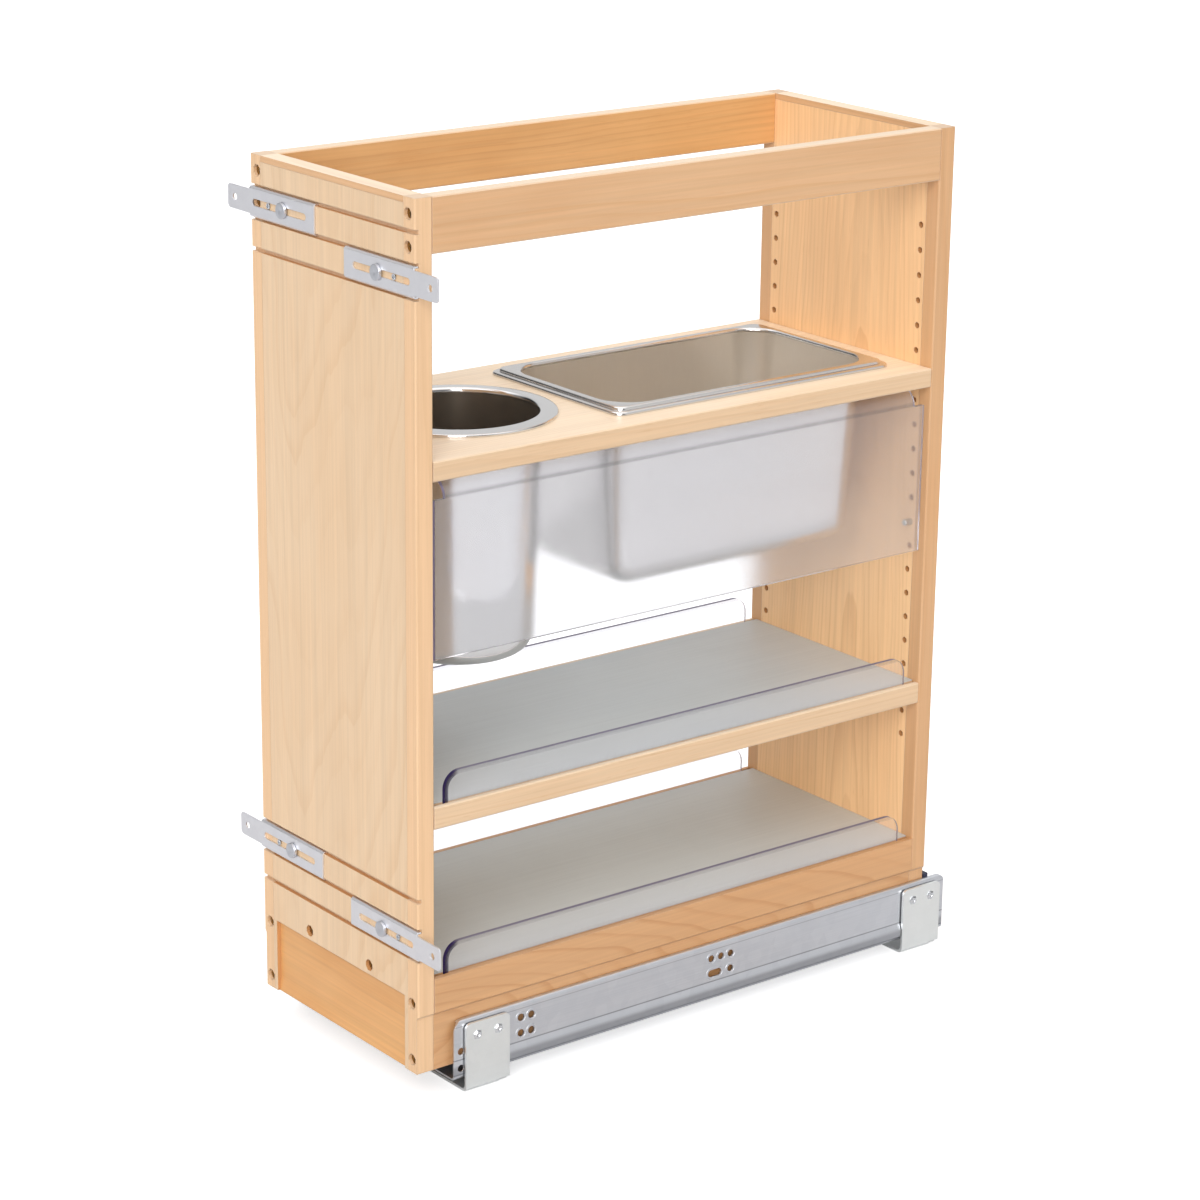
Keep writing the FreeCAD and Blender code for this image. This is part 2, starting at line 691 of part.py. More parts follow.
def pin_slots(under, pin_z):
    """Slots in a shelf's ends, open below, that hide its four pins."""
    half = PIN_DIAMETER / 2 + PIN_SLOT_PLAY
    depth = PIN_LENGTH - PIN_HOLE_DEPTH + PIN_SLOT_SPARE
    roof = pin_z + PIN_DIAMETER / 2
    return with_mirrored_y([block((side * PIN_X - half, INNER_FRONT - PAST, under - PAST),
                                  (side * PIN_X + half, INNER_FRONT + depth, roof))
                            for side in SIDES])


def shelf_blank(under, top):
    """A shelf as wide as the panels, with eased long edges."""
    blank = block((-HALF_WIDTH, INNER_FRONT + SHELF_END_GAP, under),
                  (HALF_WIDTH, INNER_REAR - SHELF_END_GAP, top))
    return ease_edges(blank, lambda e: runs_along(e, Y_AXIS))


def mid_shelf():
    """The adjustable shelf, grooved for its acrylic rails."""
    grooves = with_mirrored_x([acrylic_groove(MID_TOP)])
    return shelf_blank(MID_UNDER, MID_TOP).cut(grooves + pin_slots(MID_UNDER, MID_PIN_Z))


def container_shelf():
    """The shelf with a round hole and a rectangular cut-out for the containers."""
    low = CONTAINER_UNDER - PAST
    high = CONTAINER_TOP + PAST
    can_hole = rod((0, CAN_Y, low), Z_AXIS, high - low, 2 * (CAN_TOP_RADIUS + CAN_HOLE_PLAY))
    width, length = pan_body_size()
    pan_hole = rounded_slab(width + 2 * PAN_HOLE_PLAY, length + 2 * PAN_HOLE_PLAY,
                            PAN_CORNER_RADIUS + PAN_HOLE_PLAY, PAN_Y, low, high)
    top_of_hole = CONTAINER_UNDER + SMALL_SCREW_LENGTH + SCREW_TIP_SPARE
    guard_holes = [small_screw_hole(x, y, low, top_of_hole) for x, y in guard_screw_spots()]
    cuts = [can_hole, pan_hole] + pin_slots(CONTAINER_UNDER, CONTAINER_PIN_Z) + guard_holes
    return shelf_blank(CONTAINER_UNDER, CONTAINER_TOP).cut(cuts)


def liner(top):
    """The thin sheet between the acrylic rails of a shelf."""
    half = ACRYLIC_INNER - GROOVE_PLAY
    return block((-half, INNER_FRONT + SHELF_END_GAP, top),
                 (half, INNER_REAR - SHELF_END_GAP, top + LINER_THICK))


def pins_at(z):
    """Four pins, half in the panels."""
    start = PANEL_THICK - PIN_HOLE_DEPTH
    return with_mirrored_y([faceted_rod((side * PIN_X, start, z), Y_AXIS, PIN_LENGTH, PIN_DIAMETER,
                                        HOLE_SIDES) for side in SIDES])


def boards():
    """Rails, base, shelves, liners and pins."""
    nodes = {
        "base_front_board": base_front_board(),
        "base_back_board": base_back_board(),
        "slide_deck": slide_deck(),
        "bottom_shelf": bottom_shelf(),
        "bottom_shelf_liner": liner(BASE_TOP),
        "mid_shelf": mid_shelf(),
        "mid_shelf_liner": liner(MID_TOP),
        "container_shelf": container_shelf(),
        "shelf_pins": Part.makeCompound(pins_at(MID_PIN_Z) + pins_at(CONTAINER_PIN_Z)),
        "guard_stop_pins": Part.makeCompound(pins_at(GUARD_PIN_Z)),
    }
    nodes.update(pair("top_rail", top_rail()))
    nodes.update(pair("base_side_board", base_side_board()))
    return nodes


# Acrylic
def acrylic_rail(top):
    """The right rail of a shelf, with round upper corners."""
    rail = block((ACRYLIC_INNER, INNER_FRONT + RAIL_END_GAP, top - GROOVE_DEPTH),
                 (ACRYLIC_OUTER, INNER_REAR - RAIL_END_GAP, top + RAIL_RISE))
    return round_edges(rail, RAIL_CORNER_RADIUS,
                       lambda e: runs_along(e, X_AXIS) and e.BoundBox.ZMin > top)


def guard_screw_spots():
    """Three screws through each guard's flange, as (x, y)."""
    x = HALF_WIDTH - GUARD_SCREW_INSET
    rows = (INNER_FRONT + GUARD_SCREW_END, CARCASE_DEPTH / 2, INNER_REAR - GUARD_SCREW_END)
    return [(side * x, y) for side in SIDES for y in rows]


def guard():
    """The right frosted sheet under the container shelf, folded to a flange at its top."""
    top = CONTAINER_UNDER
    front = INNER_FRONT + GUARD_END_GAP
    sheet = folded_along_y([(GUARD_X, top - GUARD_DROP), (GUARD_X, top), (GUARD_X - GUARD_FLANGE, top)],
                           [GUARD_BEND_RADIUS], ACRYLIC_THICK, front, INNER_REAR - GUARD_END_GAP)
    fold_start = top - GUARD_BEND_RADIUS - ACRYLIC_THICK
    notch = block((GUARD_X - GUARD_FLANGE - PAST, front - PAST, fold_start),
                  (GUARD_X + PAST, front + GUARD_NOTCH, top + PAST))
    holes = [small_screw_hole(x, y, top - ACRYLIC_THICK - PAST, top + PAST)
             for x, y in guard_screw_spots() if x > 0]
    return sheet.cut(with_mirrored_y([notch]) + holes)


def acrylic():
    """Rails and guards of both sides with the guards' screws."""
    under = CONTAINER_UNDER - ACRYLIC_THICK
    guard_screws = [small_screw(x, y, under, ACRYLIC_THICK) for x, y in guard_screw_spots()]
    nodes = {"guard_screws": Part.makeCompound(guard_screws)}
    nodes.update(pair("bottom_rail", acrylic_rail(BASE_TOP)))
    nodes.update(pair("mid_rail", acrylic_rail(MID_TOP)))
    nodes.update(pair("guard", guard()))
    return nodes


# Containers
def round_container():
    """A spun can with a flat rim whose edge turns down onto the shelf."""
    floor = CONTAINER_TOP - CAN_DEPTH
    rim_under = CONTAINER_TOP + CAN_RIM_RISE - CAN_WALL
    edge = CAN_RIM_RADIUS - CAN_WALL
    corner = [Vec(CAN_BOTTOM_RADIUS - inset, floor + rise, 0)
              for inset, rise in corner_bands(CAN_CORNER_RADIUS)]
    path = [Vec(0, floor, 0)] + corner + [Vec(CAN_TOP_RADIUS, rim_under, 0), Vec(edge, rim_under, 0)]
    outline = path + offset_path(path, CAN_WALL)[::-1]
    places = [Vec(spot.x, CAN_Y, spot.y) for spot in outline]
    can = Part.Face(Part.makePolygon(places + places[:1])).revolve(Vec(0, CAN_Y, 0), Z_AXIS, 360)
    seat = CONTAINER_TOP + RIM_SEAT_GAP
    height = rim_under + CAN_WALL - seat
    skirt = rod((0, CAN_Y, seat), Z_AXIS, height, 2 * CAN_RIM_RADIUS)
    hollow = rod((0, CAN_Y, seat - PAST), Z_AXIS, height + 2 * PAST, 2 * edge)
    return fused([can, skirt.cut(hollow)])


def pan_body_size():
    """The pan's width and length where it passes through the shelf."""
    return PAN_RIM_WIDTH - 2 * PAN_RIM_BORDER, PAN_RIM_LENGTH - 2 * PAN_RIM_BORDER


def pan_tub(shrink, low, high):
    """The tapered bowl of the pan, shrink being taken off every side."""
    width, length = pan_body_size()
    levels = [(shrink + PAN_TAPER + inset, low + rise)
              for inset, rise in corner_bands(PAN_FLOOR_RADIUS - shrink)]
    levels.append((shrink, high))
    sections = []
    for inset, z in levels:
        sections.append(rounded_rectangle(width - 2 * inset, length - 2 * inset,
                                          PAN_CORNER_RADIUS - inset, PAN_Y, z))
    return Part.makeLoft(sections, True, True)


def rim_slab(inset, low, high):
    """A plate with the pan rim's outline, inset all round."""
    return rounded_slab(PAN_RIM_WIDTH - 2 * inset, PAN_RIM_LENGTH - 2 * inset,
                        PAN_RIM_CORNER - inset / 2, PAN_Y, low, high)


def rectangular_pan():
    """A drawn pan whose rim steps down twice to the shelf."""
    top = CONTAINER_TOP + PAN_RIM_RISE
    ledge = CONTAINER_TOP + PAN_LEDGE_RISE
    seat = CONTAINER_TOP + RIM_SEAT_GAP
    floor = CONTAINER_TOP - PAN_DEPTH
    rim = fused([rim_slab(PAN_STEP, seat, top), rim_slab(0, seat, ledge)])
    rim = rim.cut([rim_slab(PAN_STEP + PAN_WALL, seat - PAST, top - PAN_WALL),
                   rim_slab(PAN_WALL, seat - PAST, ledge - PAN_WALL)])
    tub = pan_tub(0, floor, top)
    return fused([rim, tub]).cut(pan_tub(PAN_WALL, floor + PAN_WALL, top + PAST))


def containers():
    """The two lift-out containers."""
    return {"round_container": round_container(), "rectangular_pan": rectangular_pan()}


# Slides
def web_corner(y, into, radius):
    """What rounds the web's top corner at one of its ends."""
    low = min(y, y + into * radius) - (PAST if into > 0 else 0)
    high = max(y, y + into * radius) + (0 if into > 0 else PAST)
    square = block((WEB_X - TOP_LIP - PAST, low, SLIDE_TOP - radius),
                   (WEB_X + PAST, high, SLIDE_TOP + PAST))
    round_part = rod((WEB_X - TOP_LIP - PAST, y + into * radius, SLIDE_TOP - radius), X_AXIS,
                     TOP_LIP + 3 * PAST, 2 * radius)
    return square.cut(round_part)


def web_hole_spots():
    """The web's fixing holes as (y, z): four near the front, four in the middle, two in the nose."""
    low = SLIDE_BOTTOM + WEB_HOLE_LOW
    high = low + WEB_HOLE_RISE
    front = SLIDE_FRONT + WEB_GROUP_FRONT
    middle = (SLIDE_FRONT + SLIDE_REAR) / 2 + 2 * WEB_HOLE_PITCH
    nose = SLIDE_FRONT + WEB_NOSE_HOLE
    front_group = [(front + i * WEB_HOLE_PITCH, z) for i in (0, 1) for z in (low, high)]
    middle_group = [(middle - 2 * WEB_HOLE_PITCH, high), (middle - WEB_HOLE_PITCH, high),
                    (middle, high), (middle, low)]
    return front_group, middle_group + [(nose, low), (nose, low - WEB_NOSE_DROP)]


def web_cuts():
    """Everything cut through the web of the right fixed member."""
    start = WEB_X - SLIDE_SHEET - PAST
    depth = SLIDE_SHEET + 2 * PAST
    front_group, other_group = web_hole_spots()
    cuts = [rod((start, y, z), X_AXIS, depth, WEB_HOLE_DIAMETER) for y, z in front_group]
    cuts += [faceted_rod((start, y, z), X_AXIS, depth, WEB_HOLE_DIAMETER, COUNTERBORE_SIDES)
             for y, z in other_group]
    cuts += [faceted_rod((start, y, RIVET_Z), X_AXIS, depth, RIVET_HOLE_DIAMETER, SHANK_SIDES)
             for y in rivet_rows()]
    slot_front, low = other_group[0][0], other_group[3][1]
    slot_end = slot_front + WEB_SLOT_LENGTH - WEB_HOLE_DIAMETER
    cuts.append(obround((start, slot_front, low), (start, slot_end, low), X_AXIS, depth,
                        WEB_HOLE_DIAMETER))
    cuts.append(web_corner(SLIDE_FRONT, 1, WEB_FRONT_CORNER))
    cuts.append(web_corner(SLIDE_REAR, -1, WEB_REAR_CORNER))
    return cuts


def fixed_member():
    """The right fixed member: lip, web, floor and inner wall, bulging between its brackets."""
    wall_x = WEB_X - SLIDE_WIDTH
    wall_top = SLIDE_BOTTOM + INNER_WALL_HEIGHT
    upper = [(WEB_X - TOP_LIP, SLIDE_TOP), (WEB_X, SLIDE_TOP)]
    inner = [(wall_x, SLIDE_BOTTOM), (wall_x, wall_top), (wall_x + INNER_LIP, wall_top)]
    plain = upper + [(WEB_X, SLIDE_BOTTOM)] + inner
    bulged = upper + [(WEB_X, SLIDE_BOTTOM + BULGE_CREASE),
                      (WEB_X + BULGE, SLIDE_BOTTOM + BULGE_HIGH),
                      (WEB_X + BULGE, SLIDE_BOTTOM + BULGE_LOW),
                      (WEB_X - BULGE, SLIDE_BOTTOM)] + inner
    inner_folds = [SMALL_FOLD, SMALL_FOLD]
    plain_folds = [WEB_FOLD, WEB_FOLD] + inner_folds
    bulged_folds = [WEB_FOLD, BULGE_FOLD, BULGE_FOLD, BULGE_TURN_FOLD, BULGE_TURN_FOLD] + inner_folds
    bulge_front = FRONT_BRACKET_Y + BRACKET_LENGTH + BULGE_END_GAP
    bulge_rear = REAR_BRACKET_Y - BULGE_END_GAP
    member = fused([folded_along_y(plain, plain_folds, -SLIDE_SHEET, SLIDE_FRONT, bulge_front),
                    folded_along_y(bulged, bulged_folds, -SLIDE_SHEET, bulge_front, bulge_rear),
                    folded_along_y(plain, plain_folds, -SLIDE_SHEET, bulge_rear, SLIDE_REAR)])
    return member.cut(web_cuts())


def middle_member():
    """The right intermediate member, a lipped channel."""
    half = MIDDLE_WIDTH / 2
    top = MIDDLE_UNDER + MIDDLE_HEIGHT
    spots = [(MIDDLE_X - half + MIDDLE_LIP, top), (MIDDLE_X - half, top),
             (MIDDLE_X - half, MIDDLE_UNDER), (MIDDLE_X + half, MIDDLE_UNDER),
             (MIDDLE_X + half, top), (MIDDLE_X + half - MIDDLE_LIP, top)]
    return folded_along_y(spots, [SMALL_FOLD] * 4, SLIDE_SHEET, SLIDE_FRONT + MIDDLE_FRONT_GAP,
                          SLIDE_REAR - MIDDLE_REAR_GAP)


def runner_screw_spots():
    """Two screws up through each drawer runner, as (x, y)."""
    x = MIDDLE_X + RUNNER_SCREW_OFFSET
    return [(side * x, y) for side in SIDES
            for y in (RUNNER_FRONT + RUNNER_SCREW_END, RUNNER_REAR - RUNNER_SCREW_END)]


def drawer_runner():
    """The right runner under the deck: two channels back to back."""
    halves = []
    for side in (1, -1):
        spots = [(MIDDLE_X + side * RUNNER_TOP_HALF, DECK_UNDER), (MIDDLE_X, DECK_UNDER),
                 (MIDDLE_X, RUNNER_UNDER), (MIDDLE_X + side * RUNNER_FOOT_HALF, RUNNER_UNDER)]
        halves.append(folded_along_y(spots, [SMALL_FOLD, SMALL_FOLD], side * SLIDE_SHEET,
                                     RUNNER_FRONT, RUNNER_REAR))
    return fused(halves).cut([small_screw_hole(x, y, DECK_UNDER - SLIDE_SHEET - PAST, DECK_UNDER + PAST)
                              for x, y in runner_screw_spots() if x > 0])


def carriage(front, floor, diameter):
    """The right plastic cage that keeps a row of rollers apart, and its rollers."""
    centre_z = floor + ROLLER_PLAY + diameter / 2
    half = MIDDLE_WIDTH / 2 - SLIDE_SHEET - CARRIAGE_SIDE_PLAY
    half_height = diameter / 2 - CARRIAGE_EDGE
    cage = block((MIDDLE_X - half, front, centre_z - half_height),
                 (MIDDLE_X + half, front + CARRIAGE_LENGTH, centre_z + half_height))
    pitch = CARRIAGE_LENGTH / ROLLERS_PER_CARRIAGE
    rows = [front + pitch * (i + 0.5) for i in range(ROLLERS_PER_CARRIAGE)]
    pocket = ROLLER_LENGTH / 2 + POCKET_PLAY
    reach = diameter / 2 + POCKET_PLAY
    cage = cage.cut([block((MIDDLE_X - pocket, y - reach, floor), (MIDDLE_X + pocket, y + reach,
                                                                 floor + 2 * diameter))
                     for y in rows])
    rollers = [faceted_rod((MIDDLE_X - ROLLER_LENGTH / 2, y, centre_z), X_AXIS, ROLLER_LENGTH,
                           diameter, ROLLER_SIDES) for y in rows]
    return cage, rollers


def rear_bumper():
    """The right plastic stop behind the back panel, held by the web and its lip."""
    web = WEB_X - SLIDE_SHEET
    inner = web - BUMPER_WIDTH
    lip = WEB_X - TOP_LIP - BUMPER_FIT
    under_lip = SLIDE_TOP - SLIDE_SHEET - BUMPER_FIT
    top = SLIDE_TOP + BUMPER_RISE
    bottom = top - BUMPER_HEIGHT
    outline = [(inner, bottom), (web, bottom), (web, under_lip - WEB_FOLD),
               (web - WEB_FOLD, under_lip), (lip, under_lip), (lip, top),
               (inner + BUMPER_CHAMFER, top), (inner, top - BUMPER_CHAMFER)]
    front = CARCASE_DEPTH + BUMPER_FRONT_GAP
    return prism([Vec(x, front, z) for x, z in outline], Y_AXIS * BUMPER_LENGTH)


def slides():
    """Both slides, their carriages, the runner screws and the rear bumpers."""
    front = SLIDE_FRONT + CARRIAGE_BACK
    lower_cage, lower_rollers = carriage(front, SLIDE_FLOOR, LOWER_ROLLER_DIAMETER)
    upper_cage, upper_rollers = carriage(front, MIDDLE_FLOOR, UPPER_ROLLER_DIAMETER)
    runner_screws = [small_screw(x, y, DECK_UNDER - SLIDE_SHEET, SLIDE_SHEET)
                     for x, y in runner_screw_spots()]
    nodes = {
        "lower_rollers": Part.makeCompound(with_mirrored_x(lower_rollers)),
        "upper_rollers": Part.makeCompound(with_mirrored_x(upper_rollers)),
        "runner_screws": Part.makeCompound(runner_screws),
    }
    nodes.update(pair("fixed_member", fixed_member()))
    nodes.update(pair("middle_member", middle_member()))
    nodes.update(pair("drawer_runner", drawer_runner()))
    nodes.update(pair("lower_carriage", lower_cage))
    nodes.update(pair("upper_carriage", upper_cage))
    nodes.update(pair("rear_bumper", rear_bumper()))
    return nodes


# Floor brackets
def rivet_rows():
    """Where the rivets of the front and rear brackets lie along Y."""
    return [start + inset for start in (FRONT_BRACKET_Y, REAR_BRACKET_Y)
            for inset in (RIVET_INSET, BRACKET_LENGTH - RIVET_INSET)]


def floor_bracket(front):
    """A right bracket: an outer plate and a foot folded under the slide."""
    rear = front + BRACKET_LENGTH
    inner = BRACKET_X - BRACKET_REACH
    sheet = folded_along_y([(BRACKET_X, BRACKET_HEIGHT), (BRACKET_X, 0), (inner, 0)], [BRACKET_FOLD],
                           -BRACKET_SHEET, front, rear)
    sheet = round_edges(sheet, BRACKET_CORNER, lambda e: runs_along(e, X_AXIS)
                        and e.BoundBox.ZMin > BRACKET_HEIGHT - NEAR)
    sheet = round_edges(sheet, BRACKET_CORNER, lambda e: runs_along(e, Z_AXIS)
                        and e.BoundBox.XMax < inner + NEAR)
    fold_reach = BRACKET_SHEET + BRACKET_FOLD
    step = block((BRACKET_X - fold_reach, rear - BRACKET_STEP_LENGTH, -PAST),
                 (BRACKET_X + PAST, rear + PAST, BRACKET_STEP_HEIGHT))
    middle = front + BRACKET_LENGTH / 2
    holes = [rod((FLOOR_HOLE_X, middle + side * FLOOR_HOLE_SPACING / 2, -PAST), Z_AXIS,
                 BRACKET_SHEET + 2 * PAST, FLOOR_HOLE_DIAMETER) for side in SIDES]
    holes += [faceted_rod((BRACKET_X - BRACKET_SHEET - PAST, y, RIVET_Z), X_AXIS,
                          BRACKET_SHEET + 2 * PAST, RIVET_HOLE_DIAMETER, SHANK_SIDES)
              for y in rivet_rows() if front < y < rear]
    return sheet.cut([step] + holes)


def rivet(y):
    """A right rivet from the plate's face through to the web's inside, with its spacer."""
    inner = WEB_X - SLIDE_SHEET
    tail = inner - RIVET_TAIL_HEIGHT
    return fused([
        faceted_rod((tail, y, RIVET_Z), X_AXIS, BRACKET_X - tail, RIVET_DIAMETER, SHANK_SIDES),
        faceted_rod((BRACKET_X, y, RIVET_Z), X_AXIS, RIVET_HEAD_HEIGHT, RIVET_HEAD_DIAMETER, HEAD_SIDES),
        faceted_rod((tail, y, RIVET_Z), X_AXIS, RIVET_TAIL_HEIGHT, RIVET_TAIL_DIAMETER, SHANK_SIDES),
        faceted_rod((WEB_X, y, RIVET_Z), X_AXIS, BRACKET_WEB_GAP, RIVET_TAIL_DIAMETER, SHANK_SIDES)])


def floor_brackets():
    """Four brackets and their eight rivets."""
    rivets = with_mirrored_x([rivet(y) for y in rivet_rows()])
    nodes = {"bracket_rivets": Part.makeCompound(rivets)}
    nodes.update(pair("front_floor_bracket", floor_bracket(FRONT_BRACKET_Y)))
    nodes.update(pair("rear_floor_bracket", floor_bracket(REAR_BRACKET_Y)))
    return nodes


# Door brackets
def door_bracket_places():
    """Node name, side and centre height of the four door brackets."""
    places = []
    for level, middle in kerf_middles().items():
        places.append(("door_bracket_" + level + "_left", -1, middle + KERF_PITCH / 2))
        places.append(("door_bracket_" + level + "_right", 1, middle - KERF_PITCH / 2))
    return places


def bracket_screw_holes():
    """Holes in the front panel for the clamp and guide screws of the door brackets."""
    depth = FRONT_SCREW_LENGTH + SCREW_TIP_SPARE
    holes = []
    for _, side, z in door_bracket_places():
        for x, diameter in ((CLAMP_SCREW_X, CLAMP_SHANK_DIAMETER), (GUIDE_SCREW_X, GUIDE_SHANK_DIAMETER)):
            holes += holes_along_y([(side * x, z)], -PAST, depth, diameter + 2 * SCREW_PLAY, SHANK_SIDES)
    return holes


def door_bracket(z):
    """A right bracket: a plate whose lips run in two grooves, with a slot and a drilled tab."""
    half = (KERF_PITCH - KERF_WIDTH) / 2 + LIP_CLEARANCE + PLATE_THICK
    spots = [(LIP_DEPTH, z - half), (PLATE_FRONT, z - half), (PLATE_FRONT, z + half),
             (LIP_DEPTH, z + half)]
    section = folded_section(spots, [PLATE_FOLD, PLATE_FOLD], -PLATE_THICK,
                             lambda p: Vec(PLATE_INNER_END, p.x, p.y))
    wide = section.extrude(X_AXIS * PLATE_WIDE_LENGTH)
    tip = HALF_WIDTH + TAB_LENGTH
    tab = block((HALF_WIDTH - PAST, PLATE_FRONT, z - TAB_HEIGHT / 2),
                (tip, PLATE_FRONT + PLATE_THICK, z + TAB_HEIGHT / 2))
    tab = round_edges(tab, TAB_CORNER, lambda e: runs_along(e, Y_AXIS) and e.BoundBox.XMin > tip - NEAR)
    start = PLATE_FRONT - PAST
    depth = PLATE_THICK + 2 * PAST
    slot_inner = PLATE_INNER_END + SLOT_INNER_MARGIN + SLOT_WIDTH / 2
    slot_outer = slot_inner + SLOT_LENGTH - SLOT_WIDTH
    slot = obround((slot_inner, start, z), (slot_outer, start, z), Y_AXIS, depth, SLOT_WIDTH)
    hole = rod((tip - TAB_HOLE_INSET, start, z), Y_AXIS, depth, TAB_HOLE_DIAMETER)
    return fused([wide, tab]).cut([slot, hole])


def clamp_screw(x, z):
    """A wide low-headed screw that holds a door bracket."""
    head = faceted_rod((x, FRONT_REACH, z), Y_AXIS, CLAMP_HEAD_HEIGHT, CLAMP_HEAD_DIAMETER,
                       CLAMP_HEAD_SIDES)
    shank = faceted_rod((x, FRONT_REACH + CLAMP_HEAD_HEIGHT, z), Y_AXIS,
                        FRONT_SCREW_LENGTH - PLATE_FRONT, CLAMP_SHANK_DIAMETER, SHANK_SIDES)
    return fused([head, shank])


def guide_screw(x, z):
    """A small screw whose head runs in a door bracket's slot."""
    return screw((x, -GUIDE_HEAD_HEIGHT, z), Y_AXIS, GUIDE_HEAD_DIAMETER, GUIDE_HEAD_HEIGHT,
                 GUIDE_SHANK_DIAMETER, FRONT_SCREW_LENGTH)


def door_brackets():
    """Four door brackets with their screws."""
    places = door_bracket_places()
    clamps = [clamp_screw(side * CLAMP_SCREW_X, z) for _, side, z in places]
    guides = [guide_screw(side * GUIDE_SCREW_X, z) for _, side, z in places]
    nodes = {
        "bracket_clamp_screws": Part.makeCompound(clamps),
        "bracket_guide_screws": Part.makeCompound(guides),
    }
    for name, side, z in places:
        bracket = door_bracket(z)
        nodes[name] = bracket if side > 0 else mirrored_x(bracket)
    return nodes


def main():
    """Writes each piece to its own file, moved so that the origin lies under the middle."""
    os.makedirs("parts", exist_ok=True)
    nodes = {}
    for make in (panels, boards, acrylic, containers, slides, floor_brackets, door_brackets, screws):
        nodes.update(make())
    for name, shape in nodes.items():
        placed = shape.copy()
        placed.translate(Y_AXIS * -ORIGIN_Y)
        placed.exportStep("parts/" + name + ".step")
        sound = all(solid.isValid() for solid in placed.Solids)
        print(name, len(placed.Solids), "solids", "sound" if sound else "NOT SOUND")


main()
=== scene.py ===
"""Looks of the pull-out grooming organizer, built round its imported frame."""

from __future__ import annotations

import logging
import math
from collections.abc import Callable, Iterable, Sequence
from dataclasses import dataclass, replace
from enum import Enum
from functools import cached_property

import bmesh
import bpy
from mathutils import Matrix, Vector

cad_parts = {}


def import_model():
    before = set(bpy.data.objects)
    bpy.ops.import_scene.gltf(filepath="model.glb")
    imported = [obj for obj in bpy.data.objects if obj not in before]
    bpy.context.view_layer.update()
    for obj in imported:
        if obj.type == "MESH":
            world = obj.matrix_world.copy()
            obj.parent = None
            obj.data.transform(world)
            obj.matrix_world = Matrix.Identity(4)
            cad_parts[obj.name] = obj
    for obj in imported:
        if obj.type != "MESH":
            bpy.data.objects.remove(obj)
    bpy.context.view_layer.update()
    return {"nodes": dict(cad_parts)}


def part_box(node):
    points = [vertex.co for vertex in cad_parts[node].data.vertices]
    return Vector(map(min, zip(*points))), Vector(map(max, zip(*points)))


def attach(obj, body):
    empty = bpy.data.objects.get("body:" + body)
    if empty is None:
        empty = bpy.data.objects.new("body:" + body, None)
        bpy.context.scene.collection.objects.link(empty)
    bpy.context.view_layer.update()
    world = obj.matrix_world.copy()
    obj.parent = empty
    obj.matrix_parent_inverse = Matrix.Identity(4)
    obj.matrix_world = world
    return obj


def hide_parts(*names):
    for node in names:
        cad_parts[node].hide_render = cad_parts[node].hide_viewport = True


LOG = logging.getLogger("organizer")
Colour = tuple[float, float, float, float]
Place = tuple[float, float, float]
Point = tuple[float, float]
Socket = bpy.types.NodeSocket
Sockets = dict[str, Socket]
Outlets = bpy.types.NodeOutputs
Feeds = dict[str | int, object]


def mm(value: float) -> float:
    """Turns millimetres into the scene's metres."""
    return value / 1000


def linear(level: int) -> float:
    """Turns one channel of a print, from 0 to 255, into light."""
    share = level / 255
    return share / 12.92 if share <= 0.04045 else ((share + 0.055) / 1.055) ** 2.4


def tone(red: int, green: int, blue: int) -> Colour:
    """Turns a colour as seen on a print into the opaque one that shaders take."""
    return (linear(red), linear(green), linear(blue), 1.0)


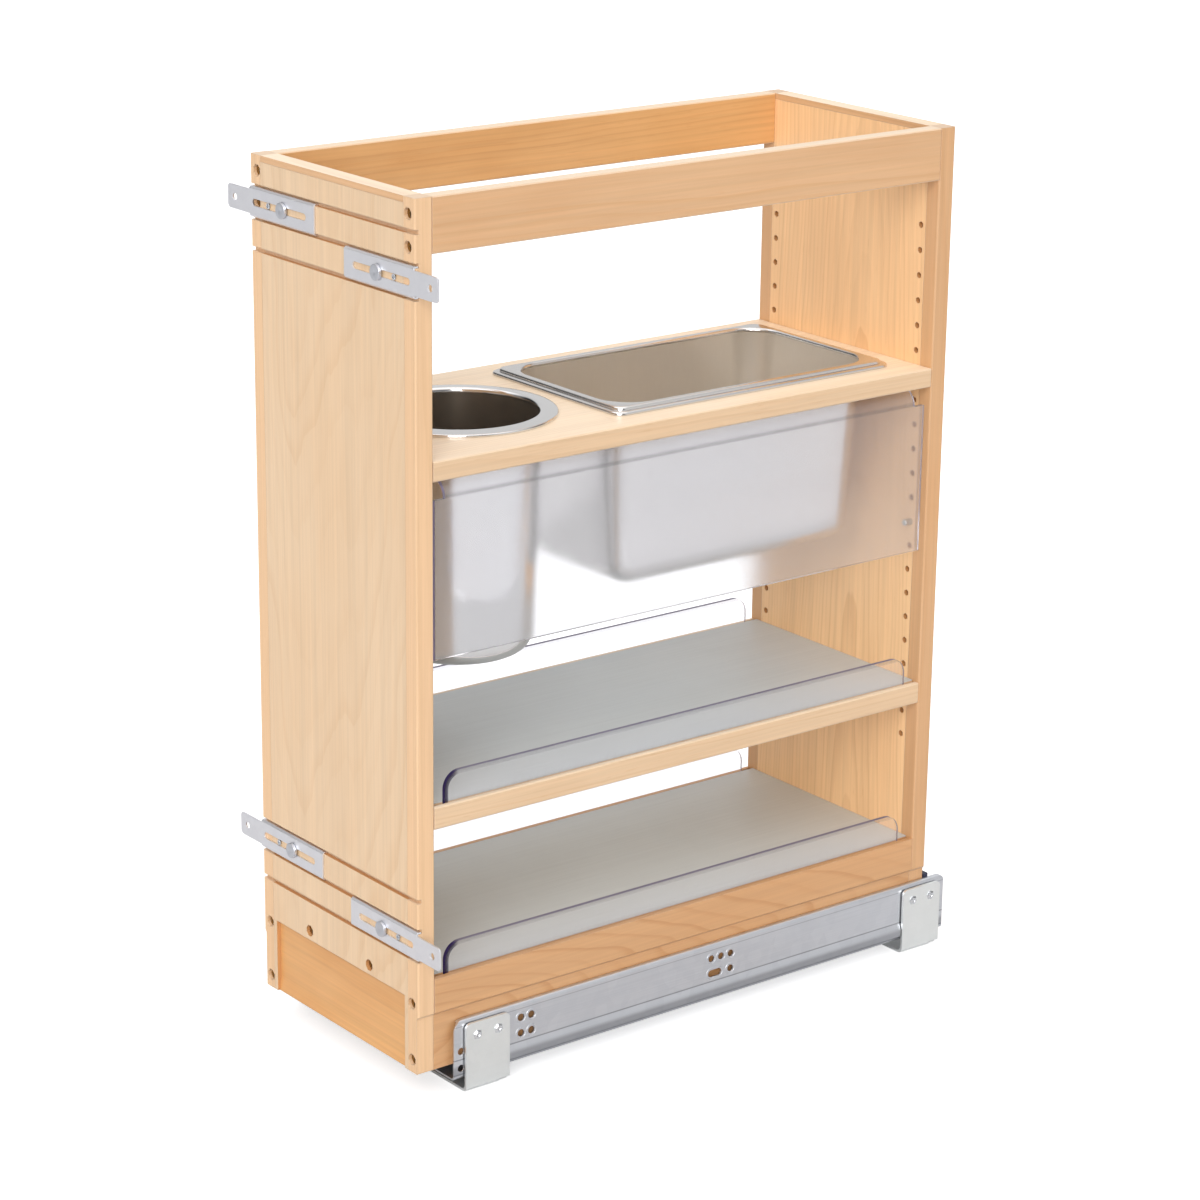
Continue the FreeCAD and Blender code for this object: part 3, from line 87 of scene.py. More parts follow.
class Wiring:
    """Short calls that fill one shader tree."""

    def __init__(self, tree: bpy.types.NodeTree) -> None:
        """Keeps the tree that is filled."""
        self.tree = tree

    def feed(self, node: bpy.types.Node, inputs: Feeds) -> None:
        """Links a node's inputs, or sets their own values.

        Args:
            node: The node.
            inputs: A socket or a plain value for each input, by name or place.
        """
        for name, value in inputs.items():
            if isinstance(value, bpy.types.NodeSocket):
                self.tree.links.new(value, node.inputs[name])
            else:
                node.inputs[name].default_value = value

    def add(self, kind: str, inputs: Feeds | None = None, **settings: object) -> bpy.types.Node:
        """Adds one node.

        Args:
            kind: The node's type without its common first part.
            inputs: What feeds each input, by name or place.
            **settings: The node's own options.

        Returns:
            The new node.
        """
        made = self.tree.nodes.new("ShaderNode" + kind)
        for option, value in settings.items():
            setattr(made, option, value)
        self.feed(made, inputs or {})
        return made

    def node(self, kind: str, inputs: Feeds | None = None, **settings: object) -> Outlets:
        """Adds one node, as add does, and hands out its outputs."""
        return self.add(kind, inputs, **settings).outputs

    def sum(self, operation: str, *values: object, clamp: bool = False) -> Socket:
        """Works out a number by a Math node, kept between 0 and 1 if clamp is set."""
        return self.node("Math", dict(enumerate(values)), operation=operation, use_clamp=clamp)[0]

    def plus(self, first: object, second: object) -> Socket:
        """Adds two numbers."""
        return self.sum("ADD", first, second)

    def minus(self, first: object, second: object) -> Socket:
        """Takes the second number from the first."""
        return self.sum("SUBTRACT", first, second)

    def times(self, first: object, second: object) -> Socket:
        """Multiplies two numbers."""
        return self.sum("MULTIPLY", first, second)

    def grown(self, first: object, second: object, base: object) -> Socket:
        """Multiplies two numbers and adds a third."""
        return self.sum("MULTIPLY_ADD", first, second, base)

    def arrow(self, operation: str, *values: object) -> Outlets:
        """Works out a vector, its first output, or a number from vectors, its second."""
        return self.node("VectorMath", dict(enumerate(values)), operation=operation)

    def noise(self, place: Socket, scale: Place, detail: float = 2.0) -> Socket:
        """Reads soft noise about 0.5 that has scale features to the metre along each axis."""
        inputs = {"Vector": self.arrow("MULTIPLY", place, scale)[0], "Detail": detail}
        return self.node("TexNoise", {**inputs, "Scale": 1.0, "Roughness": 0.55})["Fac"]

    def span(self, value: Socket, low: object, high: object, to_low: float = 0.0,
             to_high: float = 1.0) -> Socket:
        """Eases a number that goes from low to high into one that goes from to_low to to_high."""
        inputs = dict(enumerate((value, low, high, to_low, to_high)))
        return self.node("MapRange", inputs, interpolation_type="SMOOTHSTEP")[0]

    def blend(self, share: object, first: object, second: object, way: str = "MIX") -> Socket:
        """Mixes a share of the second colour into the first."""
        inputs = {0: share, 6: first, 7: second}
        return self.node("Mix", inputs, data_type="RGBA", blend_type=way)[2]


@dataclass(frozen=True)
class Effect:
    """A shader group that several finishes share, built when it is first placed."""

    name: str
    takes: dict[str, str]
    gives: dict[str, str]
    fill: Callable[[Wiring, Outlets], Sockets]

    def build(self) -> bpy.types.NodeTree:
        """Makes the group.

        Returns:
            The group's tree.
        """
        tree = bpy.data.node_groups.new(self.name, "ShaderNodeTree")
        for way, sockets in (("INPUT", self.takes), ("OUTPUT", self.gives)):
            for label, kind in sockets.items():
                tree.interface.new_socket(label, in_out=way, socket_type="NodeSocket" + kind)
        wire = Wiring(tree)
        results = self.fill(wire, tree.nodes.new("NodeGroupInput").outputs)
        wire.feed(tree.nodes.new("NodeGroupOutput"), results)
        return tree

    def place(self, wire: Wiring, **inputs: object) -> Outlets:
        """Places the group in a material and hands out its outputs."""
        tree = bpy.data.node_groups.get(self.name) or self.build()
        return wire.node("Group", inputs, node_tree=tree)


def fill_timber(wire: Wiring, given: Outlets) -> Sockets:
    """Adds growth rings, fibres and flecks, solid through the board.

    Args:
        wire: The group's wiring.
        given: The group's inputs.

    Returns:
        The sockets behind its outputs.
    """
    place = wire.arrow("ADD", given["place"], given["heart"])[0]
    across, depth, along = wire.node("SeparateXYZ", {0: place})
    broad = wire.minus(wire.noise(place, (9.0, 9.0, 2.4)), 0.5)
    narrow = wire.minus(wire.noise(place, (38.0, 38.0, 7.0)), 0.5)
    wander = wire.times(wire.plus(broad, wire.times(narrow, 0.22)), given["wander"])
    lean = wire.grown(along, given["tilt"], depth)
    reach = wire.sum("SQRT", wire.grown(across, across, wire.times(lean, lean)))
    count = wire.sum("DIVIDE", wire.plus(reach, wander), given["ring_gap"])
    turn = wire.sum("FRACT", count)
    crest = 0.94
    line = wire.times(wire.span(turn, wire.minus(crest, given["line_width"]), crest),
                      wire.span(turn, crest, 1.0, 1.0, 0.0))
    season = wire.node("TexWhiteNoise", {"W": wire.sum("FLOOR", count)}, noise_dimensions="1D")
    line = wire.times(line, wire.span(season["Value"], 0.0, 1.0, 0.25, 1.0))
    fibre = wire.noise(place, (620.0, 620.0, 9.0), 3.0)
    thread = wire.noise(place, (170.0, 170.0, 3.0))
    fleck = wire.span(wire.noise(place, (760.0, 760.0, 55.0), 1.0), 0.66, 0.74)
    figure = wire.span(wire.noise(place, (20.0, 20.0, 7.0), 3.0), 0.35, 0.75)
    colour = wire.blend(wire.times(line, given["rings"]), given["pale"], given["line"])
    colour = wire.blend(wire.times(figure, given["figure"]), colour, given["deep"])
    colour = wire.blend(wire.times(fleck, 0.18), colour, given["deep"])
    streaks = wire.plus(wire.span(fibre, 0.3, 0.7, 0.955, 1.02),
                        wire.span(thread, 0.3, 0.7, -0.03, 0.025))
    shaded = wire.node("VectorMath", {0: colour, "Scale": streaks}, operation="SCALE")
    return {"colour": shaded[0], "gloss": wire.span(figure, 0.0, 1.0, 0.0, 0.06),
            "height": wire.minus(wire.times(fibre, 0.7), wire.times(line, 0.3))}


def fill_streaks(wire: Wiring, given: Outlets) -> Sockets:
    """Adds fine parallel scratches that run along the third axis of the place.

    Args:
        wire: The group's wiring.
        given: The group's inputs.

    Returns:
        The sockets behind its outputs.
    """
    fine = wire.noise(given["place"], (1500.0, 1500.0, 12.0))
    coarse = wire.noise(given["place"], (260.0, 260.0, 5.0))
    mask = wire.plus(wire.times(fine, 0.6), wire.times(coarse, 0.4))
    return {"mask": wire.span(mask, 0.3, 0.7), "height": fine}


def fill_bloom(wire: Wiring, given: Outlets) -> Sockets:
    """Adds the soft mottling of a zinc coat, with small crystals in it.

    Args:
        wire: The group's wiring.
        given: The group's inputs.

    Returns:
        The socket behind its output.
    """
    cells = wire.node("TexVoronoi", {"Vector": given["place"], "Scale": given["crystals"]})
    level = wire.node("SeparateXYZ", {0: cells["Color"]})[0]
    cloud = wire.noise(given["place"], (45.0, 45.0, 45.0), 4.0)
    mask = wire.plus(wire.times(level, 0.35), wire.times(cloud, 0.65))
    return {"mask": wire.span(mask, 0.2, 0.8)}


def fill_handling(wire: Wiring, given: Outlets) -> Sockets:
    """Adds faint smudges and dust that break up a gloss."""
    return {"smear": wire.span(wire.noise(given["place"], (14.0, 30.0, 20.0), 4.0), 0.35, 0.7),
            "dust": wire.span(wire.noise(given["place"], (900.0, 900.0, 900.0), 1.0), 0.68, 0.76)}


def fill_edge_light(wire: Wiring, given: Outlets) -> Sockets:
    """Marks the edges, where a softened normal leans from the face's own."""
    match = wire.arrow("DOT_PRODUCT", given["soft_normal"], wire.node("NewGeometry")["True Normal"])
    return {"mask": wire.span(match[1], 0.8, 0.995, 1.0, 0.0)}


TIMBER_LOOK = {"heart": "Vector", "ring_gap": "Float", "tilt": "Float", "wander": "Float",
               "rings": "Float", "line_width": "Float", "figure": "Float", "pale": "Color",
               "line": "Color", "deep": "Color"}
TIMBER = Effect("timber_grain", {"place": "Vector", **TIMBER_LOOK},
                {"colour": "Color", "height": "Float", "gloss": "Float"}, fill_timber)
STREAKS = Effect("drawn_streaks", {"place": "Vector"}, {"mask": "Float", "height": "Float"}, fill_streaks)
BLOOM = Effect("zinc_bloom", {"place": "Vector", "crystals": "Float"}, {"mask": "Float"}, fill_bloom)
HANDLING = Effect("handling_marks", {"place": "Vector"}, {"smear": "Float", "dust": "Float"},
                  fill_handling)
EDGE_LIGHT = Effect("edge_light", {"soft_normal": "Vector"}, {"mask": "Float"}, fill_edge_light)


class Grain(Enum):
    """Which axes a board's width, thickness and fibres lie along."""

    UPRIGHT = (0, 1, 2)
    LENGTHWISE_SIDE = (2, 0, 1)
    LENGTHWISE_FLAT = (0, 2, 1)
    CROSSWISE = (2, 1, 0)


class Surface(Wiring):
    """A new material's tree with its Principled shader."""

    def __init__(self, name: str) -> None:
        """Starts a material that has only its shader and the place it is read at."""
        self.material = bpy.data.materials.new(name)
        self.material.use_nodes = True
        self.material.node_tree.nodes.clear()
        super().__init__(self.material.node_tree)
        self.shader = self.add("BsdfPrincipled")
        self.end = self.add("OutputMaterial", {"Surface": self.shader.outputs[0]})
        self.point = self.node("TexCoord")["Object"]

    @cached_property
    def parts(self) -> Outlets:
        """Gives the place's three coordinates."""
        return self.node("SeparateXYZ", {0: self.point})

    @cached_property
    def facing(self) -> Outlets:
        """Gives the three parts of the way that a face looks."""
        return self.node("SeparateXYZ", {0: self.node("NewGeometry")["True Normal"]})

    def turned(self, grain: Grain) -> Socket:
        """Gives the place with its axes in a grain's order."""
        return self.node("CombineXYZ", {i: self.parts[a] for i, a in enumerate(grain.value)})[0]

    def smears(self) -> Outlets:
        """Gives the marks of handling."""
        return HANDLING.place(self, place=self.point)

    def softened(self, radius: float) -> Socket:
        """Gives the normal with its edges rounded by a radius."""
        return self.node("Bevel", {"Radius": radius}, samples=3)[0]

    def highlight_and_wear_edges(self, colour: Socket, soft: Socket, share: float, pale: Colour) -> Socket:
        """Mixes a share of a pale colour into the edges, as a painted highlight along them; on wood it
        also stands for sanded wear.
        """
        edge = EDGE_LIGHT.place(self, soft_normal=soft)["mask"]
        return self.blend(self.times(edge, share), colour, pale)

    def relief(self, height: Socket, strength: float, reach: float, **start: Socket) -> Socket:
        """Turns a height into a normal, from the Normal in start if one is given."""
        inputs = {"Height": height, "Strength": strength, "Distance": reach}
        return self.node("Bump", {**inputs, **start})[0]

    def paint(self, inputs: Feeds) -> bpy.types.Material:
        """Feeds the shader and hands out the material."""
        self.feed(self.shader, inputs)
        return self.material


PALE = tone(226, 196, 161)
LINE = tone(208, 166, 120)
DEEP = tone(216, 174, 128)
# Warmer, more saturated pale for the back panel, whose inner face is seen: painted bounce light inside
# the frame.
PAINTED_BOUNCE_AMBER = tone(248, 203, 152)
AMBER_LINE = tone(206, 154, 104)
AMBER_DEEP = tone(206, 150, 98)
# Dark ply colour, also darkened to stand for painted shade inside the kerfs.
PLY_CORE_AND_KERF_SHADE = tone(206, 150, 92)
END_GRAIN = tone(222, 200, 176)
# Pale colours mixed into edges: a painted edge highlight, which on wood also stands for sanded wear.
EDGE_HIGHLIGHT_AND_WEAR_WOOD = tone(252, 232, 206)
EDGE_HIGHLIGHT_AND_WEAR_METAL = tone(244, 245, 247)
CREASE_SHADE = tone(96, 98, 106)
FOLD_SHADE = tone(150, 146, 150)
ACRYLIC_VEIL = tone(240, 240, 244)
WHITE = (1.0, 1.0, 1.0, 1.0)


@dataclass(frozen=True)
class WoodFinish:
    """Clear-lacquered light hardwood, cut as a solid pattern along its grain."""

    name: str
    grain: Grain
    pale: Colour
    line: Colour
    deep: Colour
    heart: Place
    ring_gap: float
    tilt: float = 0.05
    wander: float = 0.012
    rings: float = 0.4
    line_width: float = 0.5
    figure: float = 0.25
    trim: Colour | None = None
    trim_axis: int = 0
    # Paler colour painted on faces that look up, as light falling from above.
    lit_top_colour: Colour | None = None
    lit_top_share: float = 0.75
    end_share: float = 0.55
    ply: float = 0.0
    roughness: float = 0.36
    edge: float = mm(0.9)
    # Share of the pale edge colour: painted edge highlight, with sanded wear on wood.
    edge_highlight_and_wear: float = 0.35
    relief: float = 0.12

    def build(self) -> bpy.types.Material:
        """Makes the material.

        Returns:
            The finished material.
        """
        work = Surface(self.name)
        look = {label: getattr(self, label) for label in TIMBER_LOOK}
        grain = TIMBER.place(work, place=work.turned(self.grain), **look)
        colour = grain["colour"]
        sides = [work.span(work.sum("ABSOLUTE", out), 0.6, 0.8) for out in work.facing]
        if self.trim is not None:
            tinted = work.blend(1.0, colour, self.trim, "MULTIPLY")
            colour = work.blend(sides[self.trim_axis], colour, tinted)
        # Painted light from above: faces that look up take a paler colour.
        if self.lit_top_colour is not None:
            colour = work.blend(work.times(sides[2], self.lit_top_share), colour, self.lit_top_colour)
        # Faces that don't look along Y show stacked plies; their darker amber is also painted shade
        # inside the kerfs.
        if self.ply:
            layer = work.sum("FRACT", work.times(work.parts[1], 1 / self.ply))
            seam = work.span(layer, 0.44, 0.56, 0.0, 0.8)
            stacked = work.blend(seam, AMBER_DEEP, PLY_CORE_AND_KERF_SHADE)
            colour = work.blend(work.minus(1.0, sides[1]), colour, stacked)
        else:
            ended = work.blend(self.end_share, colour, END_GRAIN)
            colour = work.blend(sides[self.grain.value[2]], colour, ended)
        soft = work.softened(self.edge)
        gloss = work.plus(grain["gloss"], self.roughness)
        return work.paint({
            "Base Color": work.highlight_and_wear_edges(colour, soft, self.edge_highlight_and_wear, EDGE_HIGHLIGHT_AND_WEAR_WOOD),
            "Roughness": work.grown(work.smears()["smear"], 0.06, gloss),
            "Coat Weight": 0.12, "Coat Roughness": 0.22,
            "Normal": work.relief(grain["height"], self.relief, mm(0.2), Normal=soft)})


@dataclass(frozen=True)
class MetalFinish:
    """Sheet metal with a drawn or coated surface.

    Each crease is a height, how far its shade reaches up and down, and how dark it is.
    """

    name: str
    colour: Colour
    dark: Colour
    roughness: float
    grain: Grain = Grain.LENGTHWISE_FLAT
    streak: float = 0.1
    mottle: float = 0.2
    crystals: float = 260.0
    relief: float = 0.0
    edge: float = mm(0.5)
    # Share of the pale edge colour: a painted edge highlight.
    edge_highlight_and_wear: float = 0.5
    metallic: float = 1.0
    creases: tuple[Place, ...] = ()

    def build(self) -> bpy.types.Material:
        """Makes the material.

        Returns:
            The finished material.
        """
        work = Surface(self.name)
        drawn = STREAKS.place(work, place=work.turned(self.grain))
        coat = BLOOM.place(work, place=work.point, crystals=self.crystals)
        shade = work.sum("ADD", work.times(drawn["mask"], self.streak),
                         work.times(coat["mask"], self.mottle), clamp=True)
        colour = work.blend(shade, self.colour, self.dark)
        for height, reach, depth in self.creases:
            near = work.sum("ABSOLUTE", work.minus(work.parts[2], height))
            colour = work.blend(work.span(near, reach * 0.2, reach, depth, 0.0), colour, CREASE_SHADE)
        soft = work.softened(self.edge)
        gloss = work.grown(shade, 0.1, self.roughness)
        return work.paint({
            "Base Color": work.highlight_and_wear_edges(colour, soft, self.edge_highlight_and_wear, EDGE_HIGHLIGHT_AND_WEAR_METAL), "Metallic": self.metallic,
            "Roughness": work.grown(work.smears()["smear"], 0.05, gloss),
            "Normal": work.relief(drawn["height"], self.relief, mm(0.1), Normal=soft)})


@dataclass(frozen=True)
class MouldedFinish:
    """Moulded or laminated plastic with a fine skin."""

    name: str
    colour: Colour
    dark: Colour
    roughness: float
    streak: float = 0.0
    relief: float = 0.08

    def build(self) -> bpy.types.Material:
        """Makes the material.

        Returns:
            The finished material.
        """
        work = Surface(self.name)
        drawn = STREAKS.place(work, place=work.turned(Grain.LENGTHWISE_FLAT))
        marks = work.smears()
        skin = work.noise(work.point, (1400.0, 1400.0, 1400.0))
        shade = work.sum("ADD", work.times(drawn["mask"], self.streak), work.times(skin, 0.12),
                         clamp=True)
        gloss = work.grown(marks["smear"], 0.08, self.roughness)
        height = work.plus(skin, drawn["height"])
        return work.paint({"Base Color": work.blend(shade, self.colour, self.dark),
                           "Roughness": work.grown(marks["dust"], 0.1, gloss),
                           "Normal": work.relief(height, self.relief, mm(0.1))})


@dataclass(frozen=True)
class AcrylicFinish:
    """Clear or frosted acrylic sheet whose cut edges are tinted.

    The tint also shows through the faces as a narrow band along the front end and the top.
    """

    name: str
    face: Colour
    front_edge: Colour
    other_edge: Colour
    roughness: float
    front_end: float
    top_end: float
    corner: float
    band: float = mm(3.0)
    band_body: float = 0.6
    top_body: float = 0.1
    edge_body: float = 0.75
    haze: float = 0.0
    fold: float | None = None
    index: float = 1.49

    def edge_band(self, work: Surface) -> tuple[Socket, Socket]:
        """Marks the band along the front end, the round corner and the top.

        Args:
            work: The material.

        Returns:
            The band's mask, and a mask of its front part.
        """
        hub_y = self.front_end + self.corner
        hub_z = self.top_end - self.corner
        ahead = work.sum("MAXIMUM", work.minus(hub_y, work.parts[1]), 0.0)
        above = work.sum("MAXIMUM", work.minus(work.parts[2], hub_z), 0.0)
        reach = work.sum("SQRT", work.grown(ahead, ahead, work.times(above, above)))
        depth = work.minus(self.corner, reach)
        front = work.span(work.parts[1], hub_y - self.corner * 0.5, hub_y, 1.0, 0.0)
        return work.span(depth, self.band * 0.85, self.band, 1.0, 0.0), front

    def build(self) -> bpy.types.Material:
        """Makes the material.

        Returns:
            The finished material.
        """
        work = Surface(self.name)
        height, up = work.parts[2], work.facing[2]
        band, front = self.edge_band(work)
        tint = work.blend(front, self.other_edge, self.front_edge)
        sawn = work.sum("MAXIMUM", work.span(work.sum("ABSOLUTE", work.facing[1]), 0.3, 0.6),
                        work.span(up, -0.6, -0.3, 1.0, 0.0))
        if self.fold is None:
            sawn = work.sum("MAXIMUM", sawn, work.span(up, 0.3, 0.6))
        share = work.grown(front, self.band_body - self.top_body, self.top_body)
        mask = work.sum("MAXIMUM", work.times(sawn, self.edge_body), work.times(band, share))
        colour = work.blend(mask, self.face, tint)
        if self.fold is not None:
            shade = work.times(work.span(height, self.fold - mm(1.5), self.fold),
                               work.span(height, self.fold, self.fold + mm(3.0), 1.0, 0.0))
            colour = work.blend(work.times(shade, 0.6), colour, FOLD_SHADE)
        work.paint({"Base Color": colour, "Transmission Weight": 1.0, "IOR": self.index,
                    "Roughness": work.grown(work.smears()["smear"], 0.04, self.roughness),
                    "Specular IOR Level": 0.3})
        paths = work.node("LightPath")
        through = work.sum("MAXIMUM", paths["Is Shadow Ray"], paths["Is Diffuse Ray"])
        clear = work.node("BsdfTransparent", {"Color": self.face})
        body = work.node("BsdfTranslucent", {"Color": tint})
        veil = work.node("BsdfDiffuse", {"Color": ACRYLIC_VEIL})
        solid = work.node("MixShader", {0: mask, 1: work.shader.outputs[0], 2: body[0]})
        misty = work.node("MixShader", {0: self.haze, 1: solid[0], 2: veil[0]})
        mixed = work.node("MixShader", {0: through, 1: misty[0], 2: clear[0]})
        work.feed(work.end, {"Surface": mixed[0]})
        return work.material


Finish = WoodFinish | MetalFinish | MouldedFinish | AcrylicFinish


class Dresser:
    """Hands out finishes and the frame's nodes to the sub-assemblies."""

    def __init__(self, nodes: dict[str, bpy.types.Object]) -> None:
        """Keeps the frame's nodes by name."""
        self.nodes = nodes
        self.finishes: dict[str, bpy.types.Material] = {}

    def material(self, finish: Finish) -> bpy.types.Material:
        """Builds a finish's material once and hands it out after that."""
        self.finishes[finish.name] = self.finishes.get(finish.name) or finish.build()
        return self.finishes[finish.name]

    def dress(self, finish: Finish, names: Iterable[str]) -> None:
        """Gives nodes of the frame their finish.

        Args:
            finish: The finish.
            names: The nodes' names.
        """
        made = self.material(finish)
        for name in names:
            for slot in self.nodes[name].material_slots:
                slot.link = "OBJECT"
                slot.material = made
            LOG.info("%s: dressed in %s", name, finish.name)

    def solids(self, name: str) -> list[tuple[Vector, Vector]]:
        """Finds the separate solids of a node.

        Args:
            name: The node's name.

        Returns:
            The lowest and highest corner of each, in order of place.
        """
        work = bmesh.new()
        work.from_mesh(self.nodes[name].data)
        bmesh.ops.remove_doubles(work, verts=work.verts, dist=1e-6)
        unseen = set(work.verts)
        boxes = []
        while unseen:
            todo = [unseen.pop()]
            found = []
            while todo:
                vert = todo.pop()
                found.append(vert.co.copy())
                near = {edge.other_vert(vert) for edge in vert.link_edges} & unseen
                unseen -= near
                todo.extend(near)
            boxes.append(tuple(Vector([end(point[i] for point in found) for i in range(3)])
                               for end in (min, max)))
        work.free()
        return sorted(boxes, key=lambda box: tuple(round(value, 4) for value in box[0]))


class MeshBench:
    """Gathers faces in metres and turns them into one piece."""

    def __init__(self, dresser: Dresser) -> None:
        """Starts with an empty mesh."""
        self.dresser = dresser
        self.mesh = bmesh.new()

    def skin(self, rings: Sequence[Sequence[Vector]], inside_bands: int = 0, looped: bool = False) -> None:
        """Joins closed rings of as many points each, one after the other.

        Args:
            rings: The rings in order.
            inside_bands: How many of the first bands take the piece's second finish.
            looped: Whether the last ring joins the first; otherwise both are filled.
        """
        rows = [[self.mesh.verts.new(point) for point in ring] for ring in rings]
        following = rows[1:] + rows[:1] if looped else rows[1:]
        for band, (here, there) in enumerate(zip(rows, following)):
            for i in range(len(here)):
                after = (i + 1) % len(here)
                face = self.mesh.faces.new((here[i], here[after], there[after], there[i]))
                face.material_index = int(band < inside_bands)
        if not looped:
            self.mesh.faces.new(rows[0][::-1]).material_index = int(inside_bands > 0)
            self.mesh.faces.new(rows[-1])

    def lathe(self, profile: Sequence[Point], centre: Vector, axis: Vector, steps: int,
              inside_bands: int = 0) -> None:
        """Turns a profile about an axis.

        Args:
            profile: Radius and height of each point, from one end to the other.
            centre: Where the axis starts.
            axis: The way that heights are measured, with a length of 1.
            steps: How many points a ring has.
            inside_bands: How many of the first bands take the piece's second finish.
        """
        side = axis.orthogonal().normalized()
        other = axis.cross(side)
        angles = [2 * math.pi * i / steps for i in range(steps)]
        spokes = [side * math.cos(angle) + other * math.sin(angle) for angle in angles]
        self.skin([[centre + axis * height + spoke * radius for spoke in spokes]
                   for radius, height in profile], inside_bands=inside_bands)

    def piece(self, name: str, finishes: Sequence[Finish], body: str,
              crease: float = 35.0, node: str | None = None) -> None:
        """Makes the object, which rides on a body.

        Args:
            name: The piece's name.
            finishes: Its finish, and a second one for its inside bands if it has them.
            body: The body that it moves with.
            crease: The angle in degrees above which an edge stays sharp.
            node: The node that it replaces, if there is one.
        """
        bmesh.ops.recalc_face_normals(self.mesh, faces=self.mesh.faces)
        data = bpy.data.meshes.new(name)
        self.mesh.to_mesh(data)
        self.mesh.free()
        data.shade_smooth()
        data.set_sharp_from_angle(angle=math.radians(crease))
        for finish in finishes:
            data.materials.append(self.dresser.material(finish))
        made = stand(name, data)
        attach(made, body)
        if node is not None:
            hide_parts(node)
        LOG.info("%s: %d faces on %s", name, len(data.polygons), body)


def stand(name: str, data: bpy.types.ID) -> bpy.types.Object:
    """Puts a mesh, a light or a camera into the scene.

    Args:
        name: The object's name.
        data: What it shows.

    Returns:
        The object.
    """
    made = bpy.data.objects.new(name, data)
    bpy.context.scene.collection.objects.link(made)
    return made


def arc(centre: Point, radius: float, start: float, end: float, steps: int) -> list[Point]:
    """Gives the points of a flat arc in so many steps, with its angles in degrees."""
    angles = [math.radians(start + (end - start) * i / steps) for i in range(steps + 1)]
    return [(centre[0] + radius * math.cos(a), centre[1] + radius * math.sin(a)) for a in angles]


def rounded_ring(centre: Vector, width: float, length: float, radius: float,
                 height: float) -> list[Vector]:
    """Gives the points of a flat rectangle with round corners.

    Args:
        centre: The rectangle's centre in plan.
        width: Its size along X.
        length: Its size along Y.
        radius: The corners' radius.
        height: Its Z.

    Returns:
        The points, anticlockwise from above.
    """
    points = []
    for turn, across, along in ((0, 1, 1), (90, -1, 1), (180, -1, -1), (270, 1, -1)):
        hub = (centre.x + across * (width / 2 - radius), centre.y + along * (length / 2 - radius))
        points += arc(hub, radius, turn, turn + 90, 8)
    return [Vector((x, y, height)) for x, y in points]


def pair(*names: str) -> list[str]:
    """Gives the nodes on the right and the left of each name."""
    return [name + side for name in names for side in ("_right", "_left")]


AHEAD = Vector((0, 1, 0))

SLIDE_ZINC = MetalFinish("slide_zinc", tone(222, 224, 229), tone(198, 201, 208), 0.34, streak=0.25,
                         mottle=0.25, crystals=110.0, relief=0.03, edge=mm(0.25))
SLIDE_OUTSIDE = replace(SLIDE_ZINC, name="slide_outside_zinc", creases=(
    (mm(50.3), mm(0.5), 0.35), (mm(25.1), mm(0.7), 0.6), (mm(16.4), mm(5.8), 0.45),
    (mm(13.8), mm(0.8), 0.6)))
GALVANISED = MetalFinish("bracket_galvanised", tone(243, 245, 244), tone(230, 232, 231), 0.45,
                         mottle=0.25, crystals=150.0, relief=0.01)
DOOR_PLATE = MetalFinish("door_plate_zinc", tone(240, 240, 244), tone(226, 226, 231), 0.42,
                         crystals=150.0, relief=0.01)
CLAMP_ZINC = MetalFinish("clamp_zinc", tone(212, 214, 220), tone(182, 185, 194), 0.40, edge=mm(0.15))
BRIGHT_ZINC = MetalFinish("bright_zinc", tone(226, 228, 232), tone(196, 200, 206), 0.16, edge=mm(0.15))
YELLOW_ZINC = MetalFinish("yellow_zinc", tone(158, 124, 66), tone(108, 80, 36), 0.3, mottle=0.4,
                          edge=mm(0.15))
NICKEL = MetalFinish("pin_nickel", tone(202, 200, 194), tone(168, 164, 156), 0.25, edge=mm(0.2))
BRUSHED_STEEL = MetalFinish("brushed_stainless", tone(224, 222, 221), tone(208, 205, 202), 0.16,
                            streak=0.25, mottle=0.0, relief=0.01)
POLISHED_STEEL = MetalFinish("polished_stainless", tone(230, 229, 229), tone(216, 214, 213), 0.08,
                             grain=Grain.UPRIGHT, streak=0.2, mottle=0.0, relief=0.006)
# Inside finishes: the real satin steel, with a warm tint and a diffuse share that paint in reflected wood
# and a brighter interior.
CAN_INSIDE_PAINTED_REFLECTION = replace(POLISHED_STEEL, name="can_inside_painted_reflection", colour=tone(206, 198, 188),
                     dark=tone(188, 178, 166), roughness=0.2, streak=0.15, relief=0.004, metallic=0.97)
PAN_INSIDE_PAINTED_REFLECTION = replace(POLISHED_STEEL, name="pan_inside_painted_reflection", colour=tone(235, 228, 218),
                     dark=tone(221, 212, 201), roughness=0.33, streak=0.12, metallic=0.86)
LINER = MouldedFinish("grey_liner", tone(205, 209, 208), tone(192, 195, 194), 0.42, streak=0.5,
                      relief=0.03)
BUMPER = MouldedFinish("bumper_plastic", tone(38, 42, 66), tone(20, 22, 36), 0.45)
CAGE = MouldedFinish("cage_nylon", tone(226, 226, 222), tone(204, 204, 198), 0.4)
ROLLER = MouldedFinish("roller_acetal", tone(236, 236, 232), tone(214, 214, 208), 0.3)


